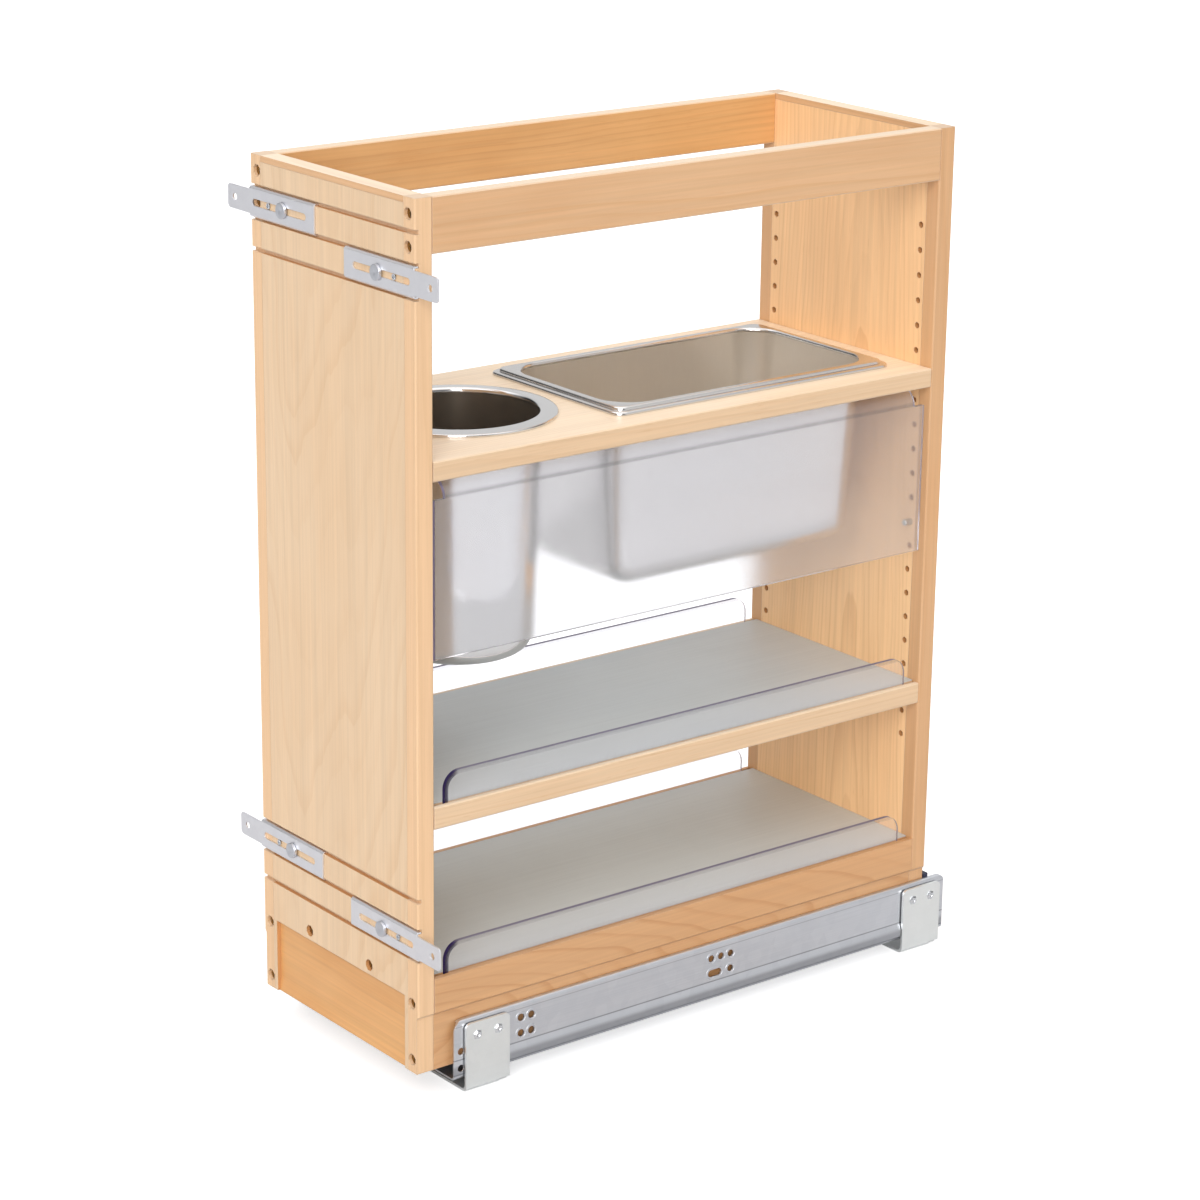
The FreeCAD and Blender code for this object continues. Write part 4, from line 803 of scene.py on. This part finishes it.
@dataclass
class Carcase:
    """End panels, rails, base and shelves, with their wood finishes."""

    dresser: Dresser
    ply: float = mm(4.0)
    # Paler colour of the rails' upper faces: painted light from above.
    rail_lit_top: Colour = tone(243, 224, 198)

    def boards(self) -> list[tuple[WoodFinish, list[str]]]:
        """Pairs each board's finish with the nodes that wear it.

        Returns:
            The finishes and their nodes.
        """
        return [
            (WoodFinish("door_side_veneer", Grain.UPRIGHT, PALE, LINE, DEEP,
                        (0.035, -0.235, 0.0), 0.0032, tilt=0.045, wander=0.030, rings=0.30,
                        figure=0.22, ply=self.ply), ["front_panel"]),
            # The back panel's warmer amber is painted bounce light inside the frame.
            (WoodFinish("rear_veneer_painted_bounce", Grain.UPRIGHT, PAINTED_BOUNCE_AMBER, AMBER_LINE, AMBER_DEEP,
                        (-0.02, -0.25, 0.3), 0.0030, tilt=-0.035, wander=0.022, rings=0.34,
                        figure=0.2, ply=self.ply), ["back_panel"]),
            (WoodFinish("front_stile_maple", Grain.UPRIGHT, tone(232, 192, 150), LINE, DEEP,
                        (0.0, 0.21, 0.1), 0.0028, tilt=0.01, wander=0.006, rings=0.28,
                        figure=0.18), pair("front_stile")),
            (WoodFinish("rear_stile_maple", Grain.UPRIGHT, tone(212, 166, 121), AMBER_LINE,
                        AMBER_DEEP, (0.03, -0.21, 0.4), 0.0030, tilt=0.012, wander=0.008,
                        figure=0.3), pair("back_stile")),
            (WoodFinish("cap_maple", Grain.CROSSWISE, tone(249, 224, 194), LINE, DEEP,
                        (0.3, 0.1, 0.0), 0.0040, rings=0.25, trim=tone(226, 200, 172),
                        trim_axis=1), ["panel_top_strips"]),
            (WoodFinish("near_rail_maple", Grain.LENGTHWISE_SIDE, tone(216, 173, 130), AMBER_LINE,
                        AMBER_DEEP, (-0.52, 0.02, 0.0), 0.0040, tilt=0.02, wander=0.016,
                        rings=0.42, lit_top_colour=self.rail_lit_top), ["top_rail_right"]),
            # Darker, more amber copy of the rail maple for the far rail, whose inner face is seen:
            # painted shade inside the frame.
            (WoodFinish("far_rail_painted_shade_maple", Grain.LENGTHWISE_SIDE, tone(222, 170, 112),
                        tone(200, 142, 84), tone(198, 136, 72), (-0.5, 0.03, 0.1), 0.0044,
                        tilt=0.03, wander=0.018, rings=0.5, figure=0.4, lit_top_colour=self.rail_lit_top),
             ["top_rail_left"]),
            (WoodFinish("base_side_maple", Grain.LENGTHWISE_SIDE, tone(208, 160, 114),
                        tone(178, 118, 64), AMBER_DEEP, (-0.05, -0.03, 0.05), 0.0050, tilt=0.12,
                        wander=0.022, rings=0.42, line_width=0.3, figure=0.35), pair("base_side_board")),
            (WoodFinish("base_front_maple", Grain.CROSSWISE, tone(222, 168, 108), AMBER_LINE,
                        tone(204, 140, 78), (0.1, 0.3, 0.0), 0.0045, tilt=0.06, wander=0.02,
                        figure=0.5), ["base_front_board", "base_back_board"]),
            (WoodFinish("shelf_maple", Grain.LENGTHWISE_FLAT, tone(246, 224, 196), LINE, DEEP,
                        (0.01, -0.4, 0.0), 0.0034, tilt=0.03, wander=0.02, rings=0.22,
                        figure=0.15, trim=tone(232, 218, 202)), ["container_shelf", "mid_shelf"]),
            (WoodFinish("deck_plywood", Grain.LENGTHWISE_FLAT, tone(226, 194, 152), LINE, DEEP,
                        (0.05, 0.1, 0.0), 0.0060, figure=0.4, roughness=0.55),
             ["slide_deck", "bottom_shelf"]),
        ]

    def build(self) -> None:
        """Dresses every board and the liners."""
        for finish, names in self.boards():
            self.dresser.dress(finish, names)
        self.dresser.dress(LINER, ["bottom_shelf_liner", "mid_shelf_liner"])


@dataclass
class ScrewRack:
    """The screws, pins and rivets, each modelled finer where its node stands."""

    dresser: Dresser
    recess_share: float = 0.62
    recess_depth: float = mm(1.2)
    recess_width: float = mm(1.1)
    panel_head: float = mm(2.6)
    flange_head: float = mm(1.8)
    guide_head: float = mm(1.1)
    clamp_round: float = mm(0.35)
    clamp_shank: float = mm(2.0)
    rivet_head: float = mm(1.3)
    pin_radius: float = mm(2.35)
    pin_round: float = mm(0.4)

    def spots(self, node: str, axis: Vector) -> list[tuple[Vector, float, float]]:
        """Finds the fasteners of a node.

        Args:
            node: The node.
            axis: The way that they point.

        Returns:
            The middle of each one's outer face, its radius and its length.
        """
        along = max(range(3), key=lambda i: abs(axis[i]))
        found = []
        for low, high in self.dresser.solids(node):
            size = high - low
            face = (low + high) / 2
            face[along] = low[along] if axis[along] > 0 else high[along]
            found.append((face, max(size[i] for i in range(3) if i != along) / 2, size[along]))
        return found

    def cross_outline(self, reach: float) -> list[Point]:
        """Gives the points round a cross, anticlockwise, whose arms have this reach."""
        half = self.recess_width / 2
        arm = ((reach, -half), (reach, half), (half, half))
        return [(x * cos - y * sin, x * sin + y * cos)
                for cos, sin in ((1, 0), (0, 1), (-1, 0), (0, -1)) for x, y in arm]

    def cross_head(self, bench: MeshBench, face: Vector, axis: Vector, radius: float,
                   height: float) -> None:
        """Adds a countersunk head with a cross recess.

        Args:
            bench: Where the faces go.
            face: The middle of the head's outer face.
            axis: The way into the wood.
            radius: The head's radius.
            height: How deep the head is.
        """
        side = Vector((1, 0, 0))
        other = axis.cross(side)
        cross = self.cross_outline(radius * self.recess_share)
        angles = [math.atan2(y, x) for x, y in cross]
        rim = [(radius * math.cos(angle), radius * math.sin(angle)) for angle in angles]

        def ring(points: Sequence[Point], scale: float, depth: float) -> list[Vector]:
            """Places a scaled outline at a depth under the head's face."""
            return [face + side * (x * scale) + other * (y * scale) + axis * depth
                    for x, y in points]

        bench.skin([
            ring(cross, 0.25, self.recess_depth), ring(cross, 0.8, self.recess_depth * 0.8),
            ring(cross, 1.0, 0.0), ring(rim, 0.93, 0.0), ring(rim, 1.0, height * 0.12),
            ring(rim, 0.55, height)])

    def cross_screws(self, node: str, name: str, axis: Vector, head: float,
                     finish: MetalFinish) -> None:
        """Replaces a node of screws.

        Args:
            node: The node.
            name: The piece's name.
            axis: The way that the screws point.
            head: The height of their heads.
            finish: Their finish.
        """
        bench = MeshBench(self.dresser)
        for face, radius, length in self.spots(node, axis):
            self.cross_head(bench, face, axis, radius, head)
            bench.lathe([(radius * 0.5, head * 0.9), (radius * 0.5, length * 0.8),
                         (radius * 0.08, length)], face, axis, 12)
        bench.piece(name, [finish], "organizer", node=node)

    def clamp_heads(self) -> None:
        """Replaces the wide low heads that clamp the door brackets."""
        bench = MeshBench(self.dresser)
        soft, shank = self.clamp_round, self.clamp_shank
        for face, radius, length in self.spots("bracket_clamp_screws", AHEAD):
            bench.lathe([(mm(0.6), mm(0.25)), (mm(1.2), mm(0.05)), (radius * 0.6, 0.0),
                         *arc((radius - soft, soft), soft, 270, 360, 4), (radius, mm(2.1)),
                         (shank, mm(2.2)), (shank, length)], face, AHEAD, 40)
        bench.piece("clamp_heads", [CLAMP_ZINC], "organizer", node="bracket_clamp_screws")

    def rivets(self) -> None:
        """Replaces the rivets with faceted bright heads."""
        bench = MeshBench(self.dresser)
        head = self.rivet_head
        for inward in (1, -1):
            axis = Vector((inward, 0, 0))
            for face, radius, length in self.spots("bracket_rivets", axis):
                if face.x * inward < 0:
                    bench.lathe([(radius * 0.28, head * 0.55), (radius * 0.42, head * 0.1),
                                 (radius * 0.66, 0.0), (radius, head * 0.7), (radius, head),
                                 (radius * 0.54, head), (radius * 0.54, length)], face, axis, 6)
        bench.piece("rivet_heads", [BRIGHT_ZINC], "cabinet_side", 15,
                    "bracket_rivets")

    def pins(self, node: str, name: str) -> None:
        """Replaces a node of shelf pins with round ones.

        Args:
            node: The node.
            name: The piece's name.
        """
        bench = MeshBench(self.dresser)
        radius, soft = self.pin_radius, self.pin_round
        for face, _, length in self.spots(node, AHEAD):
            bench.lathe([(radius - soft, 0.0), (radius, soft), (radius, length - soft),
                         (radius - soft, length)], face, AHEAD, 20)
        bench.piece(name, [NICKEL], "organizer", node=node)

    def build(self) -> None:
        """Makes every fastener."""
        yellow, bright = (YELLOW_ZINC, "yellow_zinc"), (BRIGHT_ZINC, "bright_zinc")
        for node, name, axis, head, finish, slot in (
                ("front_panel_screws", "front_screws", (0, 1, 0), self.panel_head, *yellow),
                ("back_panel_screws", "rear_screws", (0, -1, 0), self.panel_head, *yellow),
                ("guard_screws", "guard_flange_screws", (0, 0, 1), self.flange_head, *yellow),
                ("runner_screws", "runner_fixing_screws", (0, 0, 1), self.flange_head, *yellow),
                ("bracket_guide_screws", "guide_screw_heads", (0, 1, 0), self.guide_head,
                 *bright)):
            self.cross_screws(node, name, Vector(axis), head, finish)
        self.clamp_heads()
        self.rivets()
        self.pins("shelf_pins", "shelf_support_pins")
        self.pins("guard_stop_pins", "guard_stops")


@dataclass
class Containers:
    """The two lift-out steel containers.

    Each ring of the pan's bead and ledge is how far in it lies from the rim, its corners'
    radius, and its height over the rim's top for the bead or over the seat for the ledge.
    The can's slope is how far in from its rim and how far down each of its points lies.
    """

    dresser: Dresser
    wall: float = mm(0.9)
    seat: float = mm(462.1)
    can_rim: float = mm(70.5)
    can_rim_round: float = mm(1.0)
    can_top: float = mm(58.0)
    can_bottom: float = mm(53.5)
    can_corner: float = mm(13.5)
    can_lip: float = mm(2.6)
    can_nub: float = mm(1.0)
    can_slope: tuple[Point, ...] = ((mm(5.5), mm(0.5)), (mm(1.4), mm(0.9)))
    pan_border: float = mm(9.1)
    pan_taper: float = mm(9.0)
    pan_corner: float = mm(26.0)
    pan_floor: float = mm(15.0)
    pan_lip: float = mm(2.0)
    # Pan rings, from the middle, that take the inside finish with its painted warm reflection.
    pan_inside_rows: int = 12
    pan_bead: tuple[Place, ...] = (
        (mm(5.6), mm(8.4), 0.0), (mm(4.5), mm(7.8), mm(-0.35)), (mm(4.0), mm(7.2), mm(-1.1)))
    pan_ledge: tuple[Place, ...] = (
        (mm(4.0), mm(7.2), mm(2.7)), (mm(1.1), mm(8.6), mm(2.5)), (mm(0.3), mm(8.8), mm(2.1)),
        (0.0, mm(8.8), mm(1.4)), (0.0, mm(8.8), 0.0), (mm(0.9), mm(8.2), 0.0),
        (mm(0.9), mm(8.2), mm(1.8)), (mm(4.9), mm(7.0), mm(1.9)))

    def can(self) -> None:
        """Makes the round container with its rolled inner lip."""
        low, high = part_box("round_container")
        centre = Vector(((low.x + high.x) / 2, (low.y + high.y) / 2, low.z))
        top = high.z - low.z
        wall, lip, rim = self.wall, self.can_lip, self.can_rim
        seat = self.seat - low.z
        inner = self.can_top - wall
        bottom = self.can_bottom - wall
        corner = self.can_corner - wall
        profile = [(self.can_nub, wall), (bottom - corner, wall)]
        profile += arc((bottom - corner, wall + corner), corner, 270, 360, 8)[1:]
        profile += [((inner + bottom) / 2, top / 2), (inner, top - lip * 1.5)]
        # Bands up to here take the can's inside finish, whose warm tint is painted reflection of the wood
        # round it.
        inside_rows = len(profile) - 1
        profile += arc((inner + lip, top - lip), lip, 180, 90, 7)[1:]
        profile += [(rim - inset, top - drop) for inset, drop in self.can_slope]
        profile += arc((rim - self.can_rim_round, top - mm(1.9)), self.can_rim_round, 90, 0, 4)[1:]
        profile += [(rim, seat), (rim - wall, seat), (rim - wall, top - mm(2.2)),
                    (self.can_top + mm(2.0), top - mm(2.0)), (self.can_top, top - mm(4.5)),
                    ((self.can_top + self.can_bottom) / 2, top / 2)]
        profile += arc((self.can_bottom - self.can_corner, self.can_corner), self.can_corner, 0, -90, 8)
        profile += [(self.can_nub, 0.0)]
        bench = MeshBench(self.dresser)
        bench.lathe(profile, centre, Vector((0, 0, 1)), 96, inside_rows)
        bench.piece("polished_can", [POLISHED_STEEL, CAN_INSIDE_PAINTED_REFLECTION], "round_can",
                    node="round_container")

    def pan_rows(self, floor: float, top: float, width: float) -> list[Place]:
        """Works out the pan's rings, from the middle of its inside to that of its underside.

        Args:
            floor: The underside's height.
            top: The rim's height.
            width: The rim's size along X.

        Returns:
            How far in each ring lies from the rim, its corners' radius and its height.
        """
        wall, seat, border, lip = self.wall, self.seat, self.pan_border, self.pan_lip
        reach = border + wall
        fillet = self.pan_floor - wall
        middle = reach + self.pan_taper + self.pan_floor
        rows = [(middle + share * width * 0.28, mm(3), floor + wall) for share in (0.97, 0.6, 0.25)]
        for r, h in arc((0.0, fillet), fillet, 270, 360, 7):
            inset = self.pan_taper + (fillet - r)
            rows.append((reach + inset, max(self.pan_corner - wall - inset, mm(2.5)), floor + wall + h))
        for share in (0.5, 1.0):
            inset = self.pan_taper * (1 - share)
            rows.append((reach + inset, self.pan_corner - wall - inset,
                         floor + fillet + (top - floor - fillet) * share * 0.975))
        for r, h in arc((0.0, 0.0), lip, 180, 90, 5):
            rows.append((reach - lip - r, self.pan_corner + r + lip, top - lip + h))
        rows += [(inset, radius, top + rise) for inset, radius, rise in self.pan_bead]
        rows += [(inset, radius, seat + rise) for inset, radius, rise in self.pan_ledge]
        rows += [(mm(4.9), mm(7.0), top - wall), (border - mm(0.6), self.pan_corner, top - wall),
                 (border, self.pan_corner, top - mm(2.6))]
        for r, h in arc((0.0, self.pan_floor), self.pan_floor, 360, 270, 7):
            inset = self.pan_taper + (self.pan_floor - r)
            rows.append((border + inset, max(self.pan_corner - inset, mm(2)), floor + h))
        return rows

    def pan(self) -> None:
        """Makes the rectangular pan with its stepped rim."""
        low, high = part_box("rectangular_pan")
        centre = (low + high) / 2
        size = high - low
        bench = MeshBench(self.dresser)
        # The first rings take the pan's inside finish, lightened and warmed as painted reflection and
        # light.
        bench.skin([rounded_ring(centre, size.x - 2 * inset, size.y - 2 * inset, radius, height)
                    for inset, radius, height in self.pan_rows(low.z, high.z, size.x)],
                   inside_bands=self.pan_inside_rows)
        bench.piece("satin_pan", [BRUSHED_STEEL, PAN_INSIDE_PAINTED_REFLECTION], "pan", 50,
                    "rectangular_pan")

    def build(self) -> None:
        """Makes both containers."""
        self.can()
        self.pan()


@dataclass
class AcrylicParts:
    """Clear shelf rails and the two frosted guards."""

    dresser: Dresser
    thick: float = mm(3.0)
    rail_corner: float = mm(13.0)
    bend: float = mm(14.0)
    notch: float = mm(9.5)

    def guard(self, side: int, node: str, frosted: AcrylicFinish) -> None:
        """Makes one guard with its smooth bend and notched ends.

        Args:
            side: 1 for the right guard, -1 for the left.
            node: The node that it stands for.
            frosted: Its finish.
        """
        low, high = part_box(node)
        tip, outer = sorted((abs(low.x), abs(high.x)))
        hub = (outer - self.bend, high.z - self.bend)
        outside = arc(hub, self.bend, 0, 90, 14)
        inside = arc(hub, self.bend - self.thick, 90, 0, 14)
        plate = [(outer - self.thick, low.z), (outer, low.z)]
        upper = outside + [(tip, high.z), (tip, high.z - self.thick)] + inside
        shoulder = [outside[0], inside[-1]]
        bench = MeshBench(self.dresser)
        mesh = bench.mesh

        def row(points: Sequence[Point], y: float) -> list[bmesh.types.BMVert]:
            """Adds the corners of a cut across the guard."""
            return [mesh.verts.new((side * x, y, z)) for x, z in points]

        def band(here: Sequence[bmesh.types.BMVert], there: Sequence[bmesh.types.BMVert]) -> None:
            """Joins two cuts by a closed band of faces."""
            for i, after in enumerate([*range(1, len(here)), 0]):
                mesh.faces.new((here[i], here[after], there[after], there[i]))

        full = [row(plate + upper, y) for y in (low.y + self.notch, high.y - self.notch)]
        band(*full)
        for cut, y in zip(full, (low.y, high.y)):
            end = row(plate + shoulder, y)
            band(cut[:3] + cut[-1:], end)
            mesh.faces.new(end)
            mesh.faces.new(cut[2:])
        bench.piece("frosted_" + node, [frosted], "organizer", 25, node)

    def build(self) -> None:
        """Makes the guards and dresses the rails."""
        for level in ("bottom", "mid"):
            names = pair(level + "_rail")
            low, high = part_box(names[0])
            self.dresser.dress(AcrylicFinish(
                level + "_clear_acrylic", tone(251, 251, 253), tone(70, 58, 112),
                tone(160, 154, 174), 0.01, low.y, high.z, self.rail_corner), names)
        low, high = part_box("guard_right")
        frosted = AcrylicFinish("frosted_acrylic", tone(238, 238, 240), tone(140, 126, 180),
                                tone(170, 158, 196), 0.14, low.y, high.z + self.bend, self.thick,
                                band=mm(1.0), edge_body=0.5, haze=0.06, fold=high.z - self.bend + mm(1.0))
        self.guard(1, "guard_right", frosted)
        self.guard(-1, "guard_left", frosted)


@dataclass
class SlideSet:
    """Both slides with their brackets, bumpers and embossed halos."""

    dresser: Dresser
    halo: float = mm(4.3)
    bead: float = mm(0.5)
    rise: float = mm(0.3)
    web: float = mm(101.6)
    low_row: float = mm(31.5)
    high_row: float = mm(43.5)
    front_group: float = mm(-158.9)
    pitch: float = mm(9.2)
    middle_group: float = mm(34.2)
    slot_length: float = mm(7.0)

    def holes(self) -> list[tuple[float, float, float]]:
        """Places the holes that have a halo.

        Returns:
            Y and Z of each, and how much longer than a round hole it is.
        """
        front = [(self.front_group + i * self.pitch, z, 0.0)
                 for i in (0, 1) for z in (self.low_row, self.high_row)]
        upper = [(self.middle_group + i * self.pitch, self.high_row, 0.0) for i in (-2, -1, 0)]
        return front + upper + [
            (self.middle_group, self.low_row, 0.0),
            (self.middle_group - 2 * self.pitch, self.low_row, self.slot_length)]

    def halo_ring(self, x: float, hole: Place, grow: float) -> list[Vector]:
        """Gives the points of one ring round a hole or slot.

        Args:
            x: How far out the ring lies.
            hole: The hole's first Y, its Z and its run along Y.
            grow: How far the ring lies outside the halo's middle line.

        Returns:
            The ring's points.
        """
        y, z, run = hole
        right = arc((y + run, z), self.halo + grow, -90, 90, 12)
        left = arc((y, z), self.halo + grow, 90, 270, 12)
        return [Vector((x, *point)) for point in right + (left if run else left[1:-1])]

    def halos(self) -> None:
        """Adds the raised lines that are pressed round the slides' holes."""
        bench = MeshBench(self.dresser)
        section = ((-1.0, -0.3), (-0.4, 1.0), (0.4, 1.0), (1.0, -0.3))
        for side in (1, -1):
            for hole in self.holes():
                bench.skin([self.halo_ring(side * (self.web + self.rise * lift), hole,
                                           self.bead * grow) for grow, lift in section], looped=True)
        bench.piece("slide_hole_halos", [SLIDE_ZINC], "cabinet_side", 80)

    def build(self) -> None:
        """Dresses the metal nodes and adds the halos."""
        for finish, names in (
                (SLIDE_OUTSIDE, pair("fixed_member")),
                (SLIDE_ZINC, pair("middle_member", "drawer_runner")),
                (GALVANISED, pair("front_floor_bracket", "rear_floor_bracket")),
                (DOOR_PLATE, pair("door_bracket_upper", "door_bracket_lower")),
                (BUMPER, pair("rear_bumper")),
                (CAGE, pair("lower_carriage", "upper_carriage")),
                (ROLLER, ["lower_rollers", "upper_rollers"])):
            self.dresser.dress(finish, names)
        self.halos()


@dataclass
class Studio:
    """A pale floor, soft light and the camera.

    Each light box in the surroundings is the way to it, the cosines where its edge starts and
    ends, and how much brighter than the sky it is.
    """

    camera_place: Place = (1.9193, -1.5094, 1.0767)
    azimuth: float = 52.062
    elevation: float = 17.69
    roll: float = 0.691
    lens: float = 104.58
    sensor: float = 36.0
    sight: float = 200.0
    sky: float = 0.22
    key: float = 2.2
    key_spread: float = 42.0
    key_from: Place = (0.56, -0.62, 0.36)
    floor_reach: float = 60.0
    floor_level: float = mm(-0.3)
    floor_glow: float = 0.62
    boxes: tuple[tuple[Place, float, float, float], ...] = (
        ((0.0, -0.1, 0.99), 0.50, 0.90, 1.35),
        ((0.80, 0.50, 0.33), 0.82, 0.95, 0.5),
        ((-0.75, 0.58, 0.32), 0.72, 0.93, 0.5),
        ((0.10, -0.99, 0.05), 0.93, 0.98, -0.2),
        ((-0.94, -0.30, 0.15), 0.88, 0.97, -0.2),
    )

    def floor(self) -> None:
        """Lays the pale floor."""
        reach = self.floor_reach
        data = bpy.data.meshes.new("studio_floor")
        data.from_pydata([(x, y, self.floor_level) for x, y in (
            (-reach, -reach), (reach, -reach), (reach, reach), (-reach, reach))],
            [], [(0, 1, 2, 3)])
        work = Surface("studio_floor")
        cloud = work.times(work.noise(work.point, (1.5, 1.5, 1.5)), 0.3)
        paths = work.node("LightPath")
        seen = work.sum("MAXIMUM", paths["Is Camera Ray"], paths["Is Transmission Ray"])
        data.materials.append(work.paint({
            "Base Color": work.blend(cloud, tone(208, 208, 209), tone(204, 204, 205)),
            "Roughness": 0.8, "Emission Color": WHITE,
            "Emission Strength": work.times(seen, self.floor_glow)}))
        stand("studio_floor", data)

    def lights(self) -> None:
        """Sets the white surroundings with their light boxes, and a broad key."""
        world = bpy.data.worlds.new("studio_sky")
        world.use_nodes = True
        world.node_tree.nodes.clear()
        wire = Wiring(world.node_tree)
        level: Socket | float = self.sky
        way = wire.arrow("NORMALIZE", wire.node("TexCoord")["Generated"])[0]
        for place, outer, inner, strength in self.boxes:
            near = wire.arrow("DOT_PRODUCT", way, place)[1]
            level = wire.plus(level, wire.span(near, outer, inner, 0.0, strength))
        sky = wire.node("Background", {"Color": WHITE, "Strength": level})
        seen = wire.node("Background", {"Color": WHITE, "Strength": 1.0})
        ray = wire.node("LightPath")["Is Camera Ray"]
        mixed = wire.node("MixShader", {0: ray, 1: sky[0], 2: seen[0]})
        wire.add("OutputWorld", {"Surface": mixed[0]})
        bpy.context.scene.world = world
        sun = bpy.data.lights.new("key", "SUN")
        sun.energy = self.key
        sun.angle = math.radians(self.key_spread)
        stand("key", sun).rotation_euler = Vector(self.key_from).to_track_quat("Z", "Y").to_euler()

    def camera(self) -> None:
        """Sets the camera at the photograph's place and angle."""
        turn, rise, roll = map(math.radians, (self.azimuth, self.elevation, self.roll))
        ahead = Vector((-math.sin(turn) * math.cos(rise), math.cos(turn) * math.cos(rise),
                        -math.sin(rise)))
        right = Vector((math.cos(turn), math.sin(turn), 0))
        up = right.cross(ahead)
        tilted_right = right * math.cos(roll) + up * math.sin(roll)
        tilted_up = up * math.cos(roll) - right * math.sin(roll)
        data = bpy.data.cameras.new("photo_camera")
        data.lens = self.lens
        data.sensor_width = self.sensor
        data.clip_end = self.sight
        camera = stand("photo_camera", data)
        camera.matrix_world = Matrix.Translation(Vector(self.camera_place)) @ Matrix(
            (tilted_right, tilted_up, -ahead)).transposed().to_4x4()
        bpy.context.scene.camera = camera

    def build(self) -> None:
        """Sets up the whole studio."""
        scene = bpy.context.scene
        scene.view_settings.view_transform = "Standard"
        scene.view_settings.look = "None"
        self.floor()
        self.lights()
        self.camera()


def main() -> None:
    """Loads the frame, dresses it and sets the studio."""
    logging.basicConfig(level=logging.INFO, format="%(name)s %(message)s")
    for name in ("Cube", "Camera", "Light"):
        if name in bpy.data.objects:
            bpy.data.objects.remove(bpy.data.objects[name])
    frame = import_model()
    dresser = Dresser(frame["nodes"])
    Carcase(dresser).build()
    ScrewRack(dresser).build()
    Containers(dresser).build()
    AcrylicParts(dresser).build()
    SlideSet(dresser).build()
    Studio().build()


if __name__ == "__main__":
    main()
